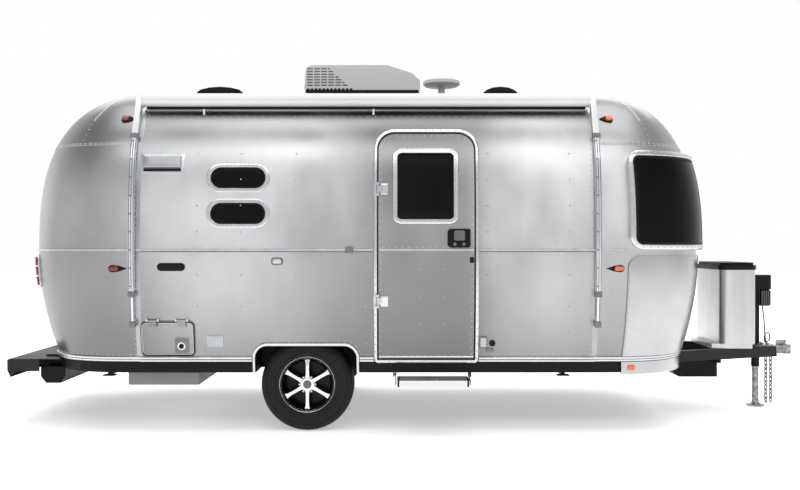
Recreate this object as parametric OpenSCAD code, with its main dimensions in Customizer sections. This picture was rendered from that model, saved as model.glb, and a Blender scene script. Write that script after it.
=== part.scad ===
// Single-axle riveted aluminium travel caravan, parked on its wheels and tongue jack.
// +X points to the hitch, -Y is the entry door side, Z = 0 is the ground.

/* [Shell] */
// Length of the straight centre section
centre_len = 3320; // [2700:10:4200]
// Rear seam of the centre section, from the middle of the caravan
seam_x = -2078; // [-2600:1:-1700]
// Length of the front end cap at the belt
front_len = 959; // [780:1:1200]
// Length of the rear end cap at the belt
rear_len = 987; // [780:1:1200]
// Half of the body width at the belt
half_w = 1219; // [1000:1:1470]
// Height of the belt above the ground
belt_z = 1339; // [1200:1:1500]
// Rise from the belt to the crown of the roof
roof_rise = 1251; // [1100:1:1500]
// Height of the bottom edge of the shell
shell_z = 520; // [480:1:560]
// Thickness of walls, roof and doors
wall = 40; // [25:1:50]
// Thickness of the floor deck
floor_t = 42; // [25:1:60]
// Height of the belly tray below the shell
belly_h = 80; // [50:1:100]

/* [Openings] */
// Rear edge of the entry door leaf
door_x = -334; // [-600:1:0]
// Width of the entry door leaf
door_w = 694; // [560:1:840]
// Height of the entry door leaf
door_h = 1642; // [1300:1:1700]
// Gap around the door leaves
door_gap = 8; // [5:1:12]
// Centre of the side windows
win_x = -1350; // [-1500:1:-1200]
// Width of a side window glass
win_w = 393; // [300:1:480]
// Height of a side window glass
win_h = 149; // [110:1:180]
// Width of the baggage door
bag_w = 372; // [300:1:450]
// Height of the baggage door
bag_h = 238; // [180:1:290]
// Lower edge of the front window glass
front_win_lo = 1375; // [1360:1:1450]
// Upper edge of the front window glass
front_win_hi = 2000; // [1800:1:2050]

/* [Running gear] */
// Place of the axle along the body
axle_x = -863; // [-1000:1:-700]
// Outer radius of a tyre
tyre_r = 345; // [300:1:414]
// Width of a tyre
tyre_w = 210; // [175:1:252]
// Radius of the rim at its lip
rim_r = 206; // [180:1:220]
// Radius of the wheel spindles
spindle_r = 20; // [16:1:24]
// Reach of the A-frame ahead of the front seam
hitch_reach = 1933; // [1700:1:2320]
// Bore radius of the ball socket
ball_r = 25.4; // [23:0.1:30]
// Radius of the jack leg
leg_r = 28; // [23:1:34]

/* [Equipment] */
// Radius of the awning roller
roller_r = 50; // [40:1:60]
// Width of the step tread
step_w = 517; // [430:1:620]
// Length of the step arms between pivots
step_arm = 190; // [150:1:230]
// Length of the air conditioner shroud
ac_len = 950; // [800:1:1140]
// Radius of the antenna disc
disc_r = 158; // [120:1:190]

/* [Hidden] */
$fn = 48;
seat = 0.3;            // gap between pieces that rest on each other
fit = 0.05;            // radial clearance of a pin in its bore
front_x = seam_x + centre_len;
crown_z = belt_z + roof_rise;
belly_z = shell_z - belly_h;
sec_n = 3.6;           // squareness of the cross-section above the belt
end_m = 2.55;          // squareness of the end caps seen from the side
plan_p = 2.9;          // squareness of the end caps seen from above
drop = 789;            // depth below the belt over which the tuck is given
side_tuck = 0.065;
front_tuck = 0.130;
rear_tuck = 0.155;

// Rows of the shell, from the bottom edge to the crown
guard_lo = shell_z + 40;
guard_hi = belt_z - 39;
frame_band = 38;       // width of the window frames on the end caps
frame_hi = front_win_hi + frame_band;
frame_t = asin(pow((frame_hi - belt_z) / roof_rise, sec_n / 2));
upper_rows = 9;
function arc_z(t) = belt_z + roof_rise * pow(sin(t), 2 / sec_n);
rows = concat([shell_z],
  [for (i = [0:3]) guard_lo + (guard_hi - guard_lo) * i / 3],
  [belt_z, front_win_lo, (front_win_lo + front_win_hi) / 2, front_win_hi, frame_hi],
  [for (i = [1:upper_rows]) i == upper_rows ? crown_z
    : arc_z(frame_t + (90 - frame_t) * i / upper_rows)]);
split_row = 12;        // last row of the side walls
split_z = rows[split_row];

// Columns of the end caps, as plan angles from one seam to the other
win_edge = 9.7;        // where the front glass starts
frame_edge = 7.2;      // where its frame and the stone guards start
post = [61, 64];       // posts between the front panes
rear_edge = 73;        // where the rear window starts
half_cols = [0, 3.5, frame_edge, win_edge, 14, 20, 27, 35, 44, 53, post[0], post[1], rear_edge,
  82, 90];
cols = concat(half_cols, [for (i = [len(half_cols) - 2:-1:0]) 180 - half_cols[i]]);

function side_f(z) = z > belt_z
  ? pow(max(0, 1 - pow(min(1, (z - belt_z) / roof_rise), sec_n)), 1 / sec_n)
  : 1 - side_tuck * pow((belt_z - z) / drop, 2);
function end_f(z, tuck) = z > belt_z
  ? pow(max(0, 1 - pow(min(1, (z - belt_z) / roof_rise), end_m)), 1 / end_m)
  : 1 - tuck * pow((belt_z - z) / drop, 2);
function lift(z, o) = z > belt_z ? belt_z + (z - belt_z) * (roof_rise + o) / roof_rise : z;
function spow(v, e) = sign(v) * pow(abs(v), e);
// An end is [seam x, length at the belt, tuck, direction]
front_end = [front_x, front_len, front_tuck, 1];
rear_end = [seam_x, rear_len, rear_tuck, -1];
function plan_xy(end, z, a, o) = [
  end[0] + end[3] * (end[1] + o) * end_f(z, end[2]) * pow(sin(a), 2 / plan_p),
  (half_w + o) * side_f(z) * spow(cos(a), 2 / plan_p)];
function skin_pt(end, z, a, o) =
  let (p = plan_xy(end, z, a, o)) [p[0], p[1], lift(z, o)];
wall_table = [for (z = concat([belly_z - 60], rows)) [z, half_w * side_f(z)]];
function wall_y(z) = lookup(z, wall_table);
function wall_max(z, h) = max(wall_y(z - h), wall_y(z + h));
function zs(z0, z1) = concat([z0], [for (z = rows) if (z > z0 + 0.5 && z < z1 - 0.5) z], [z1]);
function flip(v) = [for (i = [len(v) - 1:-1:0]) v[i]];

// One closed solid over the kept cells of an end cap, from offset o0 out to o1
module skin(end, zr, ar, o0, o1, keep) {
  nr = len(zr);
  nc = len(ar);
  pole = zr[nr - 1] > crown_z - 0.01;
  function id(i, j, k) = k * nr * nc + (pole && i == nr - 1 ? i * nc : i * nc + j);
  function on(i, j) = i >= 0 && j >= 0 && i < nr - 1 && j < nc - 1 && keep(zr[i], ar[j]);
  pts = [for (o = [o1, o0]) for (z = zr) for (a = ar) skin_pt(end, z, a, o)];
  faces = [for (i = [0:nr - 2]) for (j = [0:nc - 2]) if (on(i, j))
    let (a = id(i, j, 0), b = id(i, j + 1, 0), c = id(i + 1, j + 1, 0), d = id(i + 1, j, 0),
      e = id(i, j, 1), f = id(i, j + 1, 1), g = id(i + 1, j + 1, 1), h = id(i + 1, j, 1))
    each concat([[a, b, c], [e, g, f]],
      c == d ? [] : [[a, c, d], [e, h, g]],
      on(i - 1, j) ? [] : [[b, a, e], [b, e, f]],
      on(i, j + 1) ? [] : [[c, b, f], [c, f, g]],
      on(i + 1, j) || c == d ? [] : [[d, c, g], [d, g, h]],
      on(i, j - 1) ? [] : [[a, d, h], [a, h, e]])];
  polyhedron(points = pts, faces = end[3] > 0 ? faces : [for (f = faces) flip(f)]);
}
function in_rows(z) = z > front_win_lo - 1 && z < front_win_hi - 1;
function front_open(z, a) = in_rows(z) && a > win_edge - 0.1 && a < 180 - win_edge - 0.1
  && !(abs(a - post[0]) < 0.1) && !(abs(a - (180 - post[1])) < 0.1);
function rear_open(z, a) = in_rows(z) && a > rear_edge - 0.1 && a < 180 - rear_edge - 0.1;

// Section of the walls between two offsets, drawn in (y, z) on the +Y side
module section(z0, z1, o0, o1) {
  v = zs(z0, z1);
  polygon(concat([for (z = v) [wall_y(z) + o1, z]], [for (z = flip(v)) [wall_y(z) + o0, z]]));
}
// The same section run along X on the door side (side = -1) or the off side (side = 1)
module wall_band(side, x0, x1, z0, z1, o0, o1) {
  mirror([0, side < 0 ? 1 : 0, 0])
    translate([x0, 0, 0])
      rotate([90, 0, 90])
        linear_extrude(x1 - x0)
          section(z0, z1, o0, o1);
}
// A prism along Y over a side wall, from an outline drawn in (x, z)
module through(side) {
  reach = half_w + 200;
  depth = reach - half_w * 0.6;
  translate([0, side > 0 ? reach : -reach + depth, 0])
    rotate([90, 0, 0])
      linear_extrude(depth)
        children();
}
module rrect(x0, z0, x1, z1, r) {
  translate([x0 + r, z0]) square([x1 - x0 - 2 * r, z1 - z0]);
  if (z1 - z0 > 2 * r + 0.01)
    translate([x0, z0 + r]) square([x1 - x0, z1 - z0 - 2 * r]);
  for (x = [x0 + r, x1 - r])
    for (z = [z0 + r, z1 - r])
      translate([x, z]) circle(r);
}
// A ring that follows a side wall
module wall_ring(side, x0, z0, x1, z1, r, band, o0, o1) {
  intersection() {
    wall_band(side, x0 - band - 1, x1 + band + 1, z0 - band, z1 + band, o0, o1);
    through(side) difference() {
      rrect(x0 - band, z0 - band, x1 + band, z1 + band, r + band);
      rrect(x0, z0, x1, z1, r);
    }
  }
}
// A plate that follows a side wall
module wall_plate(side, x0, z0, x1, z1, r, o0, o1) {
  intersection() {
    wall_band(side, x0 - 1, x1 + 1, z0, z1, o0, o1);
    through(side) rrect(x0, z0, x1, z1, r);
  }
}
// A strip round an end cap between two plan angles, upright, with its plan taken at height ref
module end_strip(end, a0, a1, z, h, o0, o1, ref = 0) {
  zr = ref > 0 ? ref : z + h;
  v = concat([a0], [for (a = cols) if (a > a0 + 0.2 && a < a1 - 0.2) a], [a1]);
  translate([0, 0, z])
    linear_extrude(h)
      polygon(concat([for (a = v) plan_xy(end, zr, a, o1)],
        [for (a = flip(v)) plan_xy(end, zr, a, o0)]));
}
module plan_shape(z, o) {
  polygon(concat([for (a = cols) plan_xy(front_end, z, a, o)],
    [for (a = flip(cols)) plan_xy(rear_end, z, a, o)]));
}

// Side windows: two capsules, one above the other
win_top = [1787, 1528];
win_frame = 34;
win_gap = 2;
module at_windows() {
  for (z = win_top)
    let ($z0 = z) children();
}

// Doors
door_z = 547;
door_r = 120;
door_top = door_z + door_h;
door_end = door_x + door_w;
door_band = 26;
pane = [door_x + 139, door_z + 1014, door_x + 544, door_z + 1497];
pane_r = 30;
bag_x = -2053;
bag_z = 573;
bag_r = 30;
arch = [axle_x - tyre_r - 27, axle_x + tyre_r + 21];
arch_top = 640;
arch_r = 90;
arch_band = 23;
arch_low = belly_z;
vent = [-2042, 1910, -1753, 2025];

module side_openings(side) {
  at_windows()
    through(side)
      rrect(win_x - win_w / 2 - win_gap, $z0 - win_gap, win_x + win_w / 2 + win_gap,
        $z0 + win_h + win_gap, win_h / 2 + win_gap);
  through(side) rrect(arch[0], shell_z - 200, arch[1], arch_top, arch_r);
}
module side_section(side) {
  v = [for (i = [0:split_row]) rows[i]];
  mirror([0, side < 0 ? 1 : 0, 0])
    translate([seam_x, 0, 0])
      rotate([90, 0, 90])
        linear_extrude(centre_len)
          polygon(concat([for (z = v) [half_w * side_f(z), z]],
            [for (z = flip(v)) [(half_w - wall) * side_f(z), lift(z, -wall)]]));
}
module door_outline(g) {
  rrect(door_x - g, door_z + door_h / 2, door_end + g, door_top + g, door_r + g);
  translate([door_x - g, door_z - g]) square([door_w + 2 * g, door_h / 2 + g + door_r]);
}

module side_wall_door() {
  color([0.74, 0.75, 0.77]) difference() {
    side_section(-1);
    side_openings(-1);
    through(-1) door_outline(door_gap);
    through(-1) rrect(bag_x - door_gap, bag_z - door_gap, bag_x + bag_w + door_gap,
      bag_z + bag_h + door_gap, bag_r + door_gap);
  }
}
module side_wall_off() {
  color([0.74, 0.75, 0.77]) difference() {
    side_section(1);
    side_openings(1);
  }
}
module roof_panel() {
  v = [for (i = [split_row:len(rows) - 2]) rows[i]];
  o = [for (z = v) [half_w * side_f(z), z]];
  n = [for (z = v) [(half_w - wall) * side_f(z), lift(z, -wall)]];
  color([0.76, 0.77, 0.79])
    translate([seam_x, 0, 0])
      rotate([90, 0, 90])
        linear_extrude(centre_len)
          polygon(concat(o, [[0, crown_z]], flip([for (p = o) [-p[0], p[1]]]),
            [for (p = n) [-p[0], p[1]]], [[0, crown_z - wall]], flip(n)));
}
module front_end_cap() {
  color([0.76, 0.77, 0.79])
    skin(front_end, rows, cols, -wall, 0, function(z, a) !front_open(z, a));
}
module rear_end_cap() {
  color([0.76, 0.77, 0.79])
    skin(rear_end, rows, cols, -wall, 0, function(z, a) !rear_open(z, a));
}

// Wheels and their housings
wheel_y = half_w - 234;
well_gap = 45;
well_y = wheel_y - tyre_w / 2 - well_gap;
well_t = 6;
well_top = tyre_r * 2 + 80;
floor_z = shell_z;
module well_cut(g) {
  for (s = [-1, 1])
    translate([arch[0] - g, s > 0 ? well_y - g : -half_w - 60, 0])
      cube([arch[1] - arch[0] + 2 * g, half_w + 60 - well_y + g, well_top + g]);
}
module floor_deck() {
  color([0.55, 0.42, 0.30]) difference() {
    translate([0, 0, floor_z]) linear_extrude(floor_t) plan_shape(shell_z, -wall - seat);
    well_cut(well_t + seat);
  }
}
rail_y = 650;
rail_w = 50;
tray_t = 6;
frame_x0 = axle_x - 2087;
frame_x1 = front_x + 408;
tongue_x0 = front_x + 250;
tongue_tip = front_x + hitch_reach - 163;
tongue_y1 = 45 + rail_w / 2;
tongue_top = shell_z - 3;
tongue_h = 87;
module tongue_prism(g) {
  for (s = [-1, 1])
    translate([0, 0, tongue_top - tongue_h - g])
      linear_extrude(tongue_h + 2 * g)
        polygon([[tongue_x0 - g, s * rail_y - rail_w / 2 - g],
          [tongue_tip, s * tongue_y1 - rail_w / 2 - g],
          [tongue_tip, s * tongue_y1 + rail_w / 2 + g],
          [tongue_x0 - g, s * rail_y + rail_w / 2 + g]]);
}
module belly_tray() {
  color([0.07, 0.07, 0.08]) difference() {
    translate([0, 0, belly_z]) linear_extrude(belly_h - seat) plan_shape(shell_z, -12);
    translate([0, 0, belly_z + tray_t]) linear_extrude(belly_h) plan_shape(shell_z, -24);
    well_cut(0);
    // room for the feet of the arch trims
    for (s = [-1, 1])
      translate([arch[0] - arch_band - 2, s > 0 ? wall_y(belly_z) - 2 : -wall_y(belly_z) - 98,
        belly_z - 1])
        cube([arch[1] - arch[0] + 2 * arch_band + 4, 100, belly_h + 2]);
    for (s = [-1, 1])
      translate([frame_x0 - 100, s * rail_y - rail_w / 2 - 4, belly_z + tray_t])
        cube([300, rail_w + 8, belly_h]);
    tongue_slots();
  }
}
// Slots where the tongue rails leave the tray
module tongue_slots() {
  for (s = [-1, 1])
    translate([0, 0, belly_z - 20])
      linear_extrude(belly_h + 40)
        polygon([[tongue_x0 - 6, s * rail_y - 45], [tongue_tip, s * tongue_y1 - 31],
          [tongue_tip, s * tongue_y1 + 31], [tongue_x0 - 6, s * rail_y + 45]]);
}
module wheel_wells() {
  color([0.08, 0.08, 0.09])
    for (s = [-1, 1])
      mirror([0, s > 0 ? 1 : 0, 0])
        difference() {
          translate([arch[0] - well_t, -wall_y(shell_z) + wall + 2 * seat, belly_z + tray_t])
            cube([arch[1] - arch[0] + 2 * well_t,
              wall_y(shell_z) - wall - 2 * seat - well_y + well_t, well_top - belly_z - tray_t]);
          translate([arch[0], -half_w - 100, 0])
            cube([arch[1] - arch[0], half_w + 100 - well_y, well_top - well_t]);
        }
}

// Chassis
rail_z = belly_z + tray_t + seat;
rail_h = shell_z - rail_z - seat;
cross_x = [frame_x0 + 145, -2250, axle_x - 520, axle_x + 420, front_x - 120];
module chassis() {
  color([0.10, 0.10, 0.11]) {
    for (s = [-1, 1])
      translate([frame_x0, s * rail_y - rail_w / 2, rail_z])
        cube([tongue_x0 - seat - frame_x0, rail_w, rail_h]);
    for (x = cross_x)
      translate([x, -rail_y + rail_w / 2 + seat, rail_z])
        cube([rail_w, 2 * rail_y - rail_w - 2 * seat, rail_h]);
  }
}
module a_frame() {
  color([0.12, 0.12, 0.13]) tongue_prism(0);
}
socket_x = tongue_tip + 110;
module coupler() {
  plate_z = tongue_top - tongue_h;
  nose_x = front_x + hitch_reach;
  color([0.62, 0.63, 0.65]) difference() {
    union() {
      translate([tongue_tip + seat, -100, plate_z]) cube([10, 200, tongue_h]);
      translate([tongue_tip + seat, -38, plate_z + 20]) cube([socket_x - tongue_tip, 76, 66]);
      translate([socket_x, 0, plate_z + 17]) cylinder(h = 75, r = nose_x - socket_x, $fn = 64);
      translate([socket_x - 70, -14, plate_z + 80]) cube([80, 28, 50]);
      // plate over the meeting tongue rails
      translate([tongue_tip - 235, -100, tongue_top + seat]) cube([245 + seat, 200, 8]);
      translate([tongue_tip - 100, -12, tongue_top - tongue_h]) cube([110, 24, 14]);
    }
    translate([socket_x, 0, plate_z]) cylinder(h = 65, r = ball_r, $fn = 64);
    jack_cut();
  }
}

// Rear bumper: bent plate with closed ends, bolted to the rail ends
bumper_x = seam_x - rear_len - 110;
bumper_y = 850;
bumper_top = 506;
module bumper() {
  lip = 367;
  t = 8;
  x1 = frame_x0 - seat;
  color([0.16, 0.16, 0.17]) {
    translate([0, bumper_y, 0]) rotate([90, 0, 0]) linear_extrude(2 * bumper_y)
      polygon([[x1, bumper_top], [bumper_x + 10, bumper_top], [bumper_x, bumper_top - 10],
        [bumper_x, 420], [bumper_x + 25, lip], [bumper_x + 33, lip + 4],
        [bumper_x + t, 422], [bumper_x + t, bumper_top - 12],
        [bumper_x + 14, bumper_top - t], [x1, bumper_top - t]]);
    for (s = [-1, 1])
      translate([0, s * (bumper_y + (s > 0 ? t + seat : -seat)), 0])
        rotate([90, 0, 0])
          linear_extrude(t)
            polygon([[x1 + 20, bumper_top], [bumper_x + 10, bumper_top],
              [bumper_x, bumper_top - 10], [bumper_x, 420], [bumper_x + 25, lip],
              [bumper_x + 60, 412], [x1 + 20, 412]]);
    translate([x1 - 12, -rail_y - 40, rail_z])
      cube([12, 2 * rail_y + 80, bumper_top - t - rail_z]);
    // shelf that reaches forward to the body
    difference() {
      translate([x1 - 1, -bumper_y, bumper_top - t]) cube([190, 2 * bumper_y, t]);
      translate([0, 0, bumper_top - 20]) linear_extrude(40) plan_shape(shell_z, -12 + seat);
      for (s = [-1, 1])
        translate([x1 + 0.1, s * rail_y - rail_w / 2 - 2, bumper_top - 20])
          cube([220, rail_w + 4, 40]);
    }
  }
}
hose_x = frame_x0 + 9;
tank = [axle_x - 1376, -900, 542, 1200];
module underbody_boxes() {
  color([0.30, 0.30, 0.31]) {
    translate([0, 800, 0]) rotate([90, 0, 0]) linear_extrude(1600)
      polygon([[hose_x, belly_z - seat], [hose_x + 191, belly_z - seat], [hose_x + 191, 375],
        [hose_x + 151, 314], [hose_x + 41, 314], [hose_x, 365]]);
    translate([tank[0], tank[1], 314]) cube([tank[2], tank[3], belly_z - seat - 314]);
    translate([0, 150, 0]) rotate([90, 0, 0]) linear_extrude(300)
      polygon([[front_x + 880, box_top], [front_x + 1250, box_top], [front_x + 1250, 266],
        [front_x + 930, 266], [front_x + 880, 300]]);
    for (x = [front_x + 900, front_x + 1190])
      translate([x, -tongue_in(x), box_top + seat])
        cube([40, 2 * tongue_in(x), tongue_top - tongue_h - box_top - 2 * seat]);
  }
}
box_top = tongue_top - tongue_h - 30;
function tongue_in(x) = rail_w / 2 + rail_y
  + (tongue_y1 - rail_y) * (x + 40 - tongue_x0) / (tongue_tip - tongue_x0);

// Axle: square beam ahead of the wheel centres with trailing arms
beam_x = axle_x + 150;
beam_s = 88;
beam_z = belly_z - seat - beam_s;
arm_t = 20;
arm_y = well_y + 8;
module axle_beam() {
  color([0.13, 0.13, 0.14]) {
    translate([beam_x - beam_s / 2, -arm_y, beam_z]) cube([beam_s, 2 * arm_y, beam_s]);
    for (s = [-1, 1])
      translate([0, s > 0 ? arm_y + arm_t : -arm_y, 0])
        rotate([90, 0, 0])
          linear_extrude(arm_t)
            union() {
              translate([axle_x, tyre_r]) circle(48);
              translate([beam_x, beam_z + beam_s / 2]) circle(44);
              polygon([[axle_x, tyre_r - 40], [beam_x, beam_z + 6], [beam_x, beam_z + beam_s - 6],
                [axle_x, tyre_r + 40]]);
            }
  }
}
hub_y = arm_y + arm_t;
drum_r = 125;
drum_t = 45;
rim_face = wheel_y + tyre_w / 2 - 12;
hub_t = 60;
module hubs() {
  color([0.20, 0.20, 0.21])
    for (s = [-1, 1])
      translate([axle_x, s * hub_y, tyre_r])
        rotate([s > 0 ? -90 : 90, 0, 0]) {
          translate([0, 0, seat]) cylinder(h = drum_t, r = drum_r);
          translate([0, 0, drum_t + seat]) cylinder(h = rim_face - hub_y - drum_t - 8, r = spindle_r);
        }
}
// Wheels are built round the Z axis with +Z outboard, then turned into place
module at_wheel(side) {
  translate([axle_x, side * wheel_y, tyre_r])
    rotate([side > 0 ? -90 : 90, 0, 0])
      children();
}
lip_w = 14;
bead_r = rim_r - 16;
module tyre(side) {
  h = tyre_w / 2;
  color([0.09, 0.09, 0.09])
    at_wheel(side)
      rotate_extrude($fn = 96)
        difference() {
          rrect(bead_r + seat, -h, tyre_r, h, 42);
          translate([0, h - lip_w - 8]) square([rim_r + seat, 60]);
          translate([0, -h + lip_w + 8 - 60]) square([rim_r + seat, 60]);
          square([bead_r + seat, 2 * h], center = true);
        }
}
module rim(side) {
  h = tyre_w / 2 - 8 - seat;
  disc_z = rim_face - wheel_y - hub_t;
  color([0.55, 0.56, 0.58])
    at_wheel(side) {
      rotate_extrude($fn = 96)
        polygon([[bead_r - 18, -h], [rim_r, -h], [rim_r, -h + lip_w - 2], [bead_r, -h + lip_w],
          [bead_r, h - lip_w], [rim_r, h - lip_w + 2], [rim_r, h], [rim_r - 14, h],
          [bead_r - 12, h - 20], [bead_r - 18, h - 60], [bead_r - 12, -h + 20]]);
      difference() {
        union() {
          translate([0, 0, disc_z]) cylinder(h = hub_t, r = 72);
          for (i = [0:5])
            rotate([0, 0, 60 * i + 30])
              translate([0, 0, disc_z + 24])
                linear_extrude(26)
                  polygon([[50, -22], [bead_r - 14, -13], [bead_r - 14, 13], [50, 22]]);
        }
        translate([0, 0, disc_z - 1]) cylinder(h = hub_t + 2, r = spindle_r + fit);
      }
    }
}
module tyre_door() { tyre(-1); }
module tyre_off() { tyre(1); }
module rim_door() { rim(-1); }
module rim_off() { rim(1); }

// Entry door
pin_off = 20;
pin_y = -(half_w + pin_off);
pin_x = door_x - 2;
hinge_z = [1778, 969];
knuckle_h = 50;
knuckle_r = 10;
pin_r = 5;
module door_leaf() {
  color([0.70, 0.71, 0.73]) difference() {
    intersection() {
      wall_band(-1, door_x - 1, door_end + 1, door_z, door_top, -wall + 2, 0);
      through(-1) door_outline(0);
    }
    through(-1) rrect(pane[0] - win_gap, pane[1] - win_gap, pane[2] + win_gap, pane[3] + win_gap,
      pane_r);
  }
}
module door_glass() {
  color([0.05, 0.05, 0.06, 0.8])
    wall_plate(-1, pane[0], pane[1], pane[2], pane[3], pane_r, -8, seat - seat);
}
nub_x = door_end - 18;
nub_z = 1267;
module door_trim() {
  color([0.85, 0.86, 0.87]) {
    wall_ring(-1, pane[0], pane[1], pane[2], pane[3], pane_r, 36, seat, 14);
    wall_band(-1, door_x + 4, door_end - 4, belt_z - 10, belt_z + 10, seat, 7);
    wall_plate(-1, nub_x - 14, nub_z - 20, nub_x + 14, nub_z + 20, 6, seat, 8);
    translate([nub_x, -wall_y(nub_z) - 8, nub_z]) rotate([90, 0, 0]) cylinder(h = 32, r = 9);
  }
}
handle = [door_end - 194, 1356, door_end - 29, 1492];
module door_handle() {
  color([0.03, 0.03, 0.03]) {
    wall_plate(-1, handle[0], handle[1], handle[2], handle[3], 30, seat, 12);
    wall_plate(-1, handle[0] + 60, handle[1] + 34, handle[2] - 14, handle[3] - 34, 14,
      12 + seat, 26);
  }
}
module door_hinges() {
  color([0.82, 0.83, 0.84])
    for (z = hinge_z)
      let (y = -wall_max(z, 34) - 4)
        difference() {
          union() {
            translate([pin_x, pin_y, z - knuckle_h / 2]) cylinder(h = knuckle_h, r = knuckle_r);
            translate([pin_x, pin_y - 4, z - knuckle_h / 2])
              cube([24, y - pin_y + 4 + 2, knuckle_h]);
            translate([door_x + 12, y - 1, z - 32]) cube([34, 5 - seat, 64]);
          }
          translate([pin_x, pin_y, z - knuckle_h]) cylinder(h = 2 * knuckle_h, r = pin_r + fit);
        }
}
module hinge_pins() {
  color([0.80, 0.81, 0.82]) {
    for (z = hinge_z) {
      translate([pin_x, pin_y, z - knuckle_h]) cylinder(h = 2 * knuckle_h, r = pin_r);
      for (s = [-1, 1])
        translate([pin_x - 30, pin_y - 8, z + s * (knuckle_h / 2 + 14) - 8])
          difference() {
            cube([38, -pin_y + 8 - wall_max(z, knuckle_h) - 14 - seat, 16]);
            translate([30, 8, -1]) cylinder(h = 18, r = pin_r + fit);
          }
      translate([pin_x - 34, -wall_max(z, knuckle_h) - 14 - seat - 4, z - knuckle_h])
        cube([20, 4, 2 * knuckle_h]);
    }
    bag_pin();
  }
}
module door_surround() {
  g = door_gap + 1;
  color([0.84, 0.85, 0.86])
    intersection() {
      wall_band(-1, door_x - door_band - 20, door_end + door_band + 20, door_z - door_band - 13,
        door_top + g + door_band, seat, 14);
      through(-1) difference() {
        door_outline(g + door_band);
        door_outline(g);
      }
    }
}

// Baggage door, hinged along its top edge
bag_pin_z = bag_z + bag_h + 14;
bag_pin_y = -wall_y(bag_z + bag_h + 30) - 14;
bag_knuckle = 60;
bag_hinge_x = [bag_x + 50, bag_x + bag_w - 50 - bag_knuckle];
module bag_door() {
  color([0.70, 0.71, 0.73]) {
    wall_plate(-1, bag_x, bag_z, bag_x + bag_w, bag_z + bag_h, bag_r, -wall + 2, 0);
    wall_plate(-1, bag_x + 235, bag_z + 14, bag_x + 336, bag_z + 123, 12, seat, 12);
    for (x = bag_hinge_x)
      difference() {
        union() {
          translate([x, bag_pin_y, bag_pin_z]) rotate([0, 90, 0]) cylinder(h = bag_knuckle, r = 8);
          translate([x, bag_pin_y - 4, bag_pin_z - 40]) cube([bag_knuckle, 6, 40]);
          translate([x, bag_pin_y - 4, bag_pin_z - 44])
            cube([bag_knuckle, -bag_pin_y + 4 - wall_y(bag_pin_z - 44) - seat, 14]);
        }
        translate([x - 1, bag_pin_y, bag_pin_z])
          rotate([0, 90, 0])
            cylinder(h = bag_knuckle + 2, r = 4 + fit);
      }
  }
}
module bag_pin() {
  for (x = bag_hinge_x) {
    translate([x - 20, bag_pin_y, bag_pin_z])
      rotate([0, 90, 0])
        cylinder(h = bag_knuckle + 40, r = 4);
    for (e = [x - 16, x + bag_knuckle + 6])
      difference() {
        translate([e, bag_pin_y - 6, bag_pin_z - 6])
          cube([10, -bag_pin_y + 6 - wall_y(bag_pin_z + 16) - seat, 22]);
        translate([e - 1, bag_pin_y, bag_pin_z])
          rotate([0, 90, 0])
            cylinder(h = 12, r = 4 + fit);
      }
  }
}

// Windows
module side_window_frames() {
  color([0.84, 0.85, 0.86])
    for (s = [-1, 1])
      at_windows()
        wall_ring(s, win_x - win_w / 2, $z0, win_x + win_w / 2, $z0 + win_h, win_h / 2,
          win_frame, seat, 12);
}
module side_window_glass() {
  color([0.05, 0.05, 0.06, 0.8])
    for (s = [-1, 1])
      at_windows()
        wall_plate(s, win_x - win_w / 2 - 1, $z0 - 1, win_x + win_w / 2 + 1, $z0 + win_h + 1,
          win_h / 2 + 1, -8, 0);
}
stand = 50;            // how far the front window stands off the shell
glass_t = 6;
pane_in = 0.02;        // plan angle left free at the edge of a curved pane
glass_rows = [front_win_lo + seat, (front_win_lo + front_win_hi) / 2, front_win_hi - seat];
function span(a0, a1) = concat([a0 + pane_in], [for (a = cols) if (a > a0 + 0.1 && a < a1 - 0.1) a],
  [a1 - pane_in]);
frame_cols = [for (a = cols) if (a > frame_edge - 0.1 && a < 180 - frame_edge + 0.1) a];
frame_rows = [belt_z, front_win_lo, (front_win_lo + front_win_hi) / 2, front_win_hi, frame_hi];
rear_cols = concat([post[1]], [for (a = cols) if (a > rear_edge - 0.1 && a < 180 - rear_edge + 0.1) a],
  [180 - post[1]]);
module end_window_frames() {
  color([0.80, 0.81, 0.82]) {
    skin(front_end, frame_rows, frame_cols, seat, stand, function(z, a) !front_open(z, a));
    skin(rear_end, frame_rows, rear_cols, seat, 14, function(z, a) !rear_open(z, a));
  }
}
module end_window_glass() {
  color([0.04, 0.04, 0.05, 0.8]) {
    for (e = [[win_edge, post[0]], [post[1], 180 - post[1]], [180 - post[0], 180 - win_edge]])
      skin(front_end, glass_rows, span(e[0], e[1]), stand - 12, stand - 12 + glass_t,
        function(z, a) true);
    skin(rear_end, glass_rows, span(rear_edge, 180 - rear_edge), -4, 2, function(z, a) true);
  }
}

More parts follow.
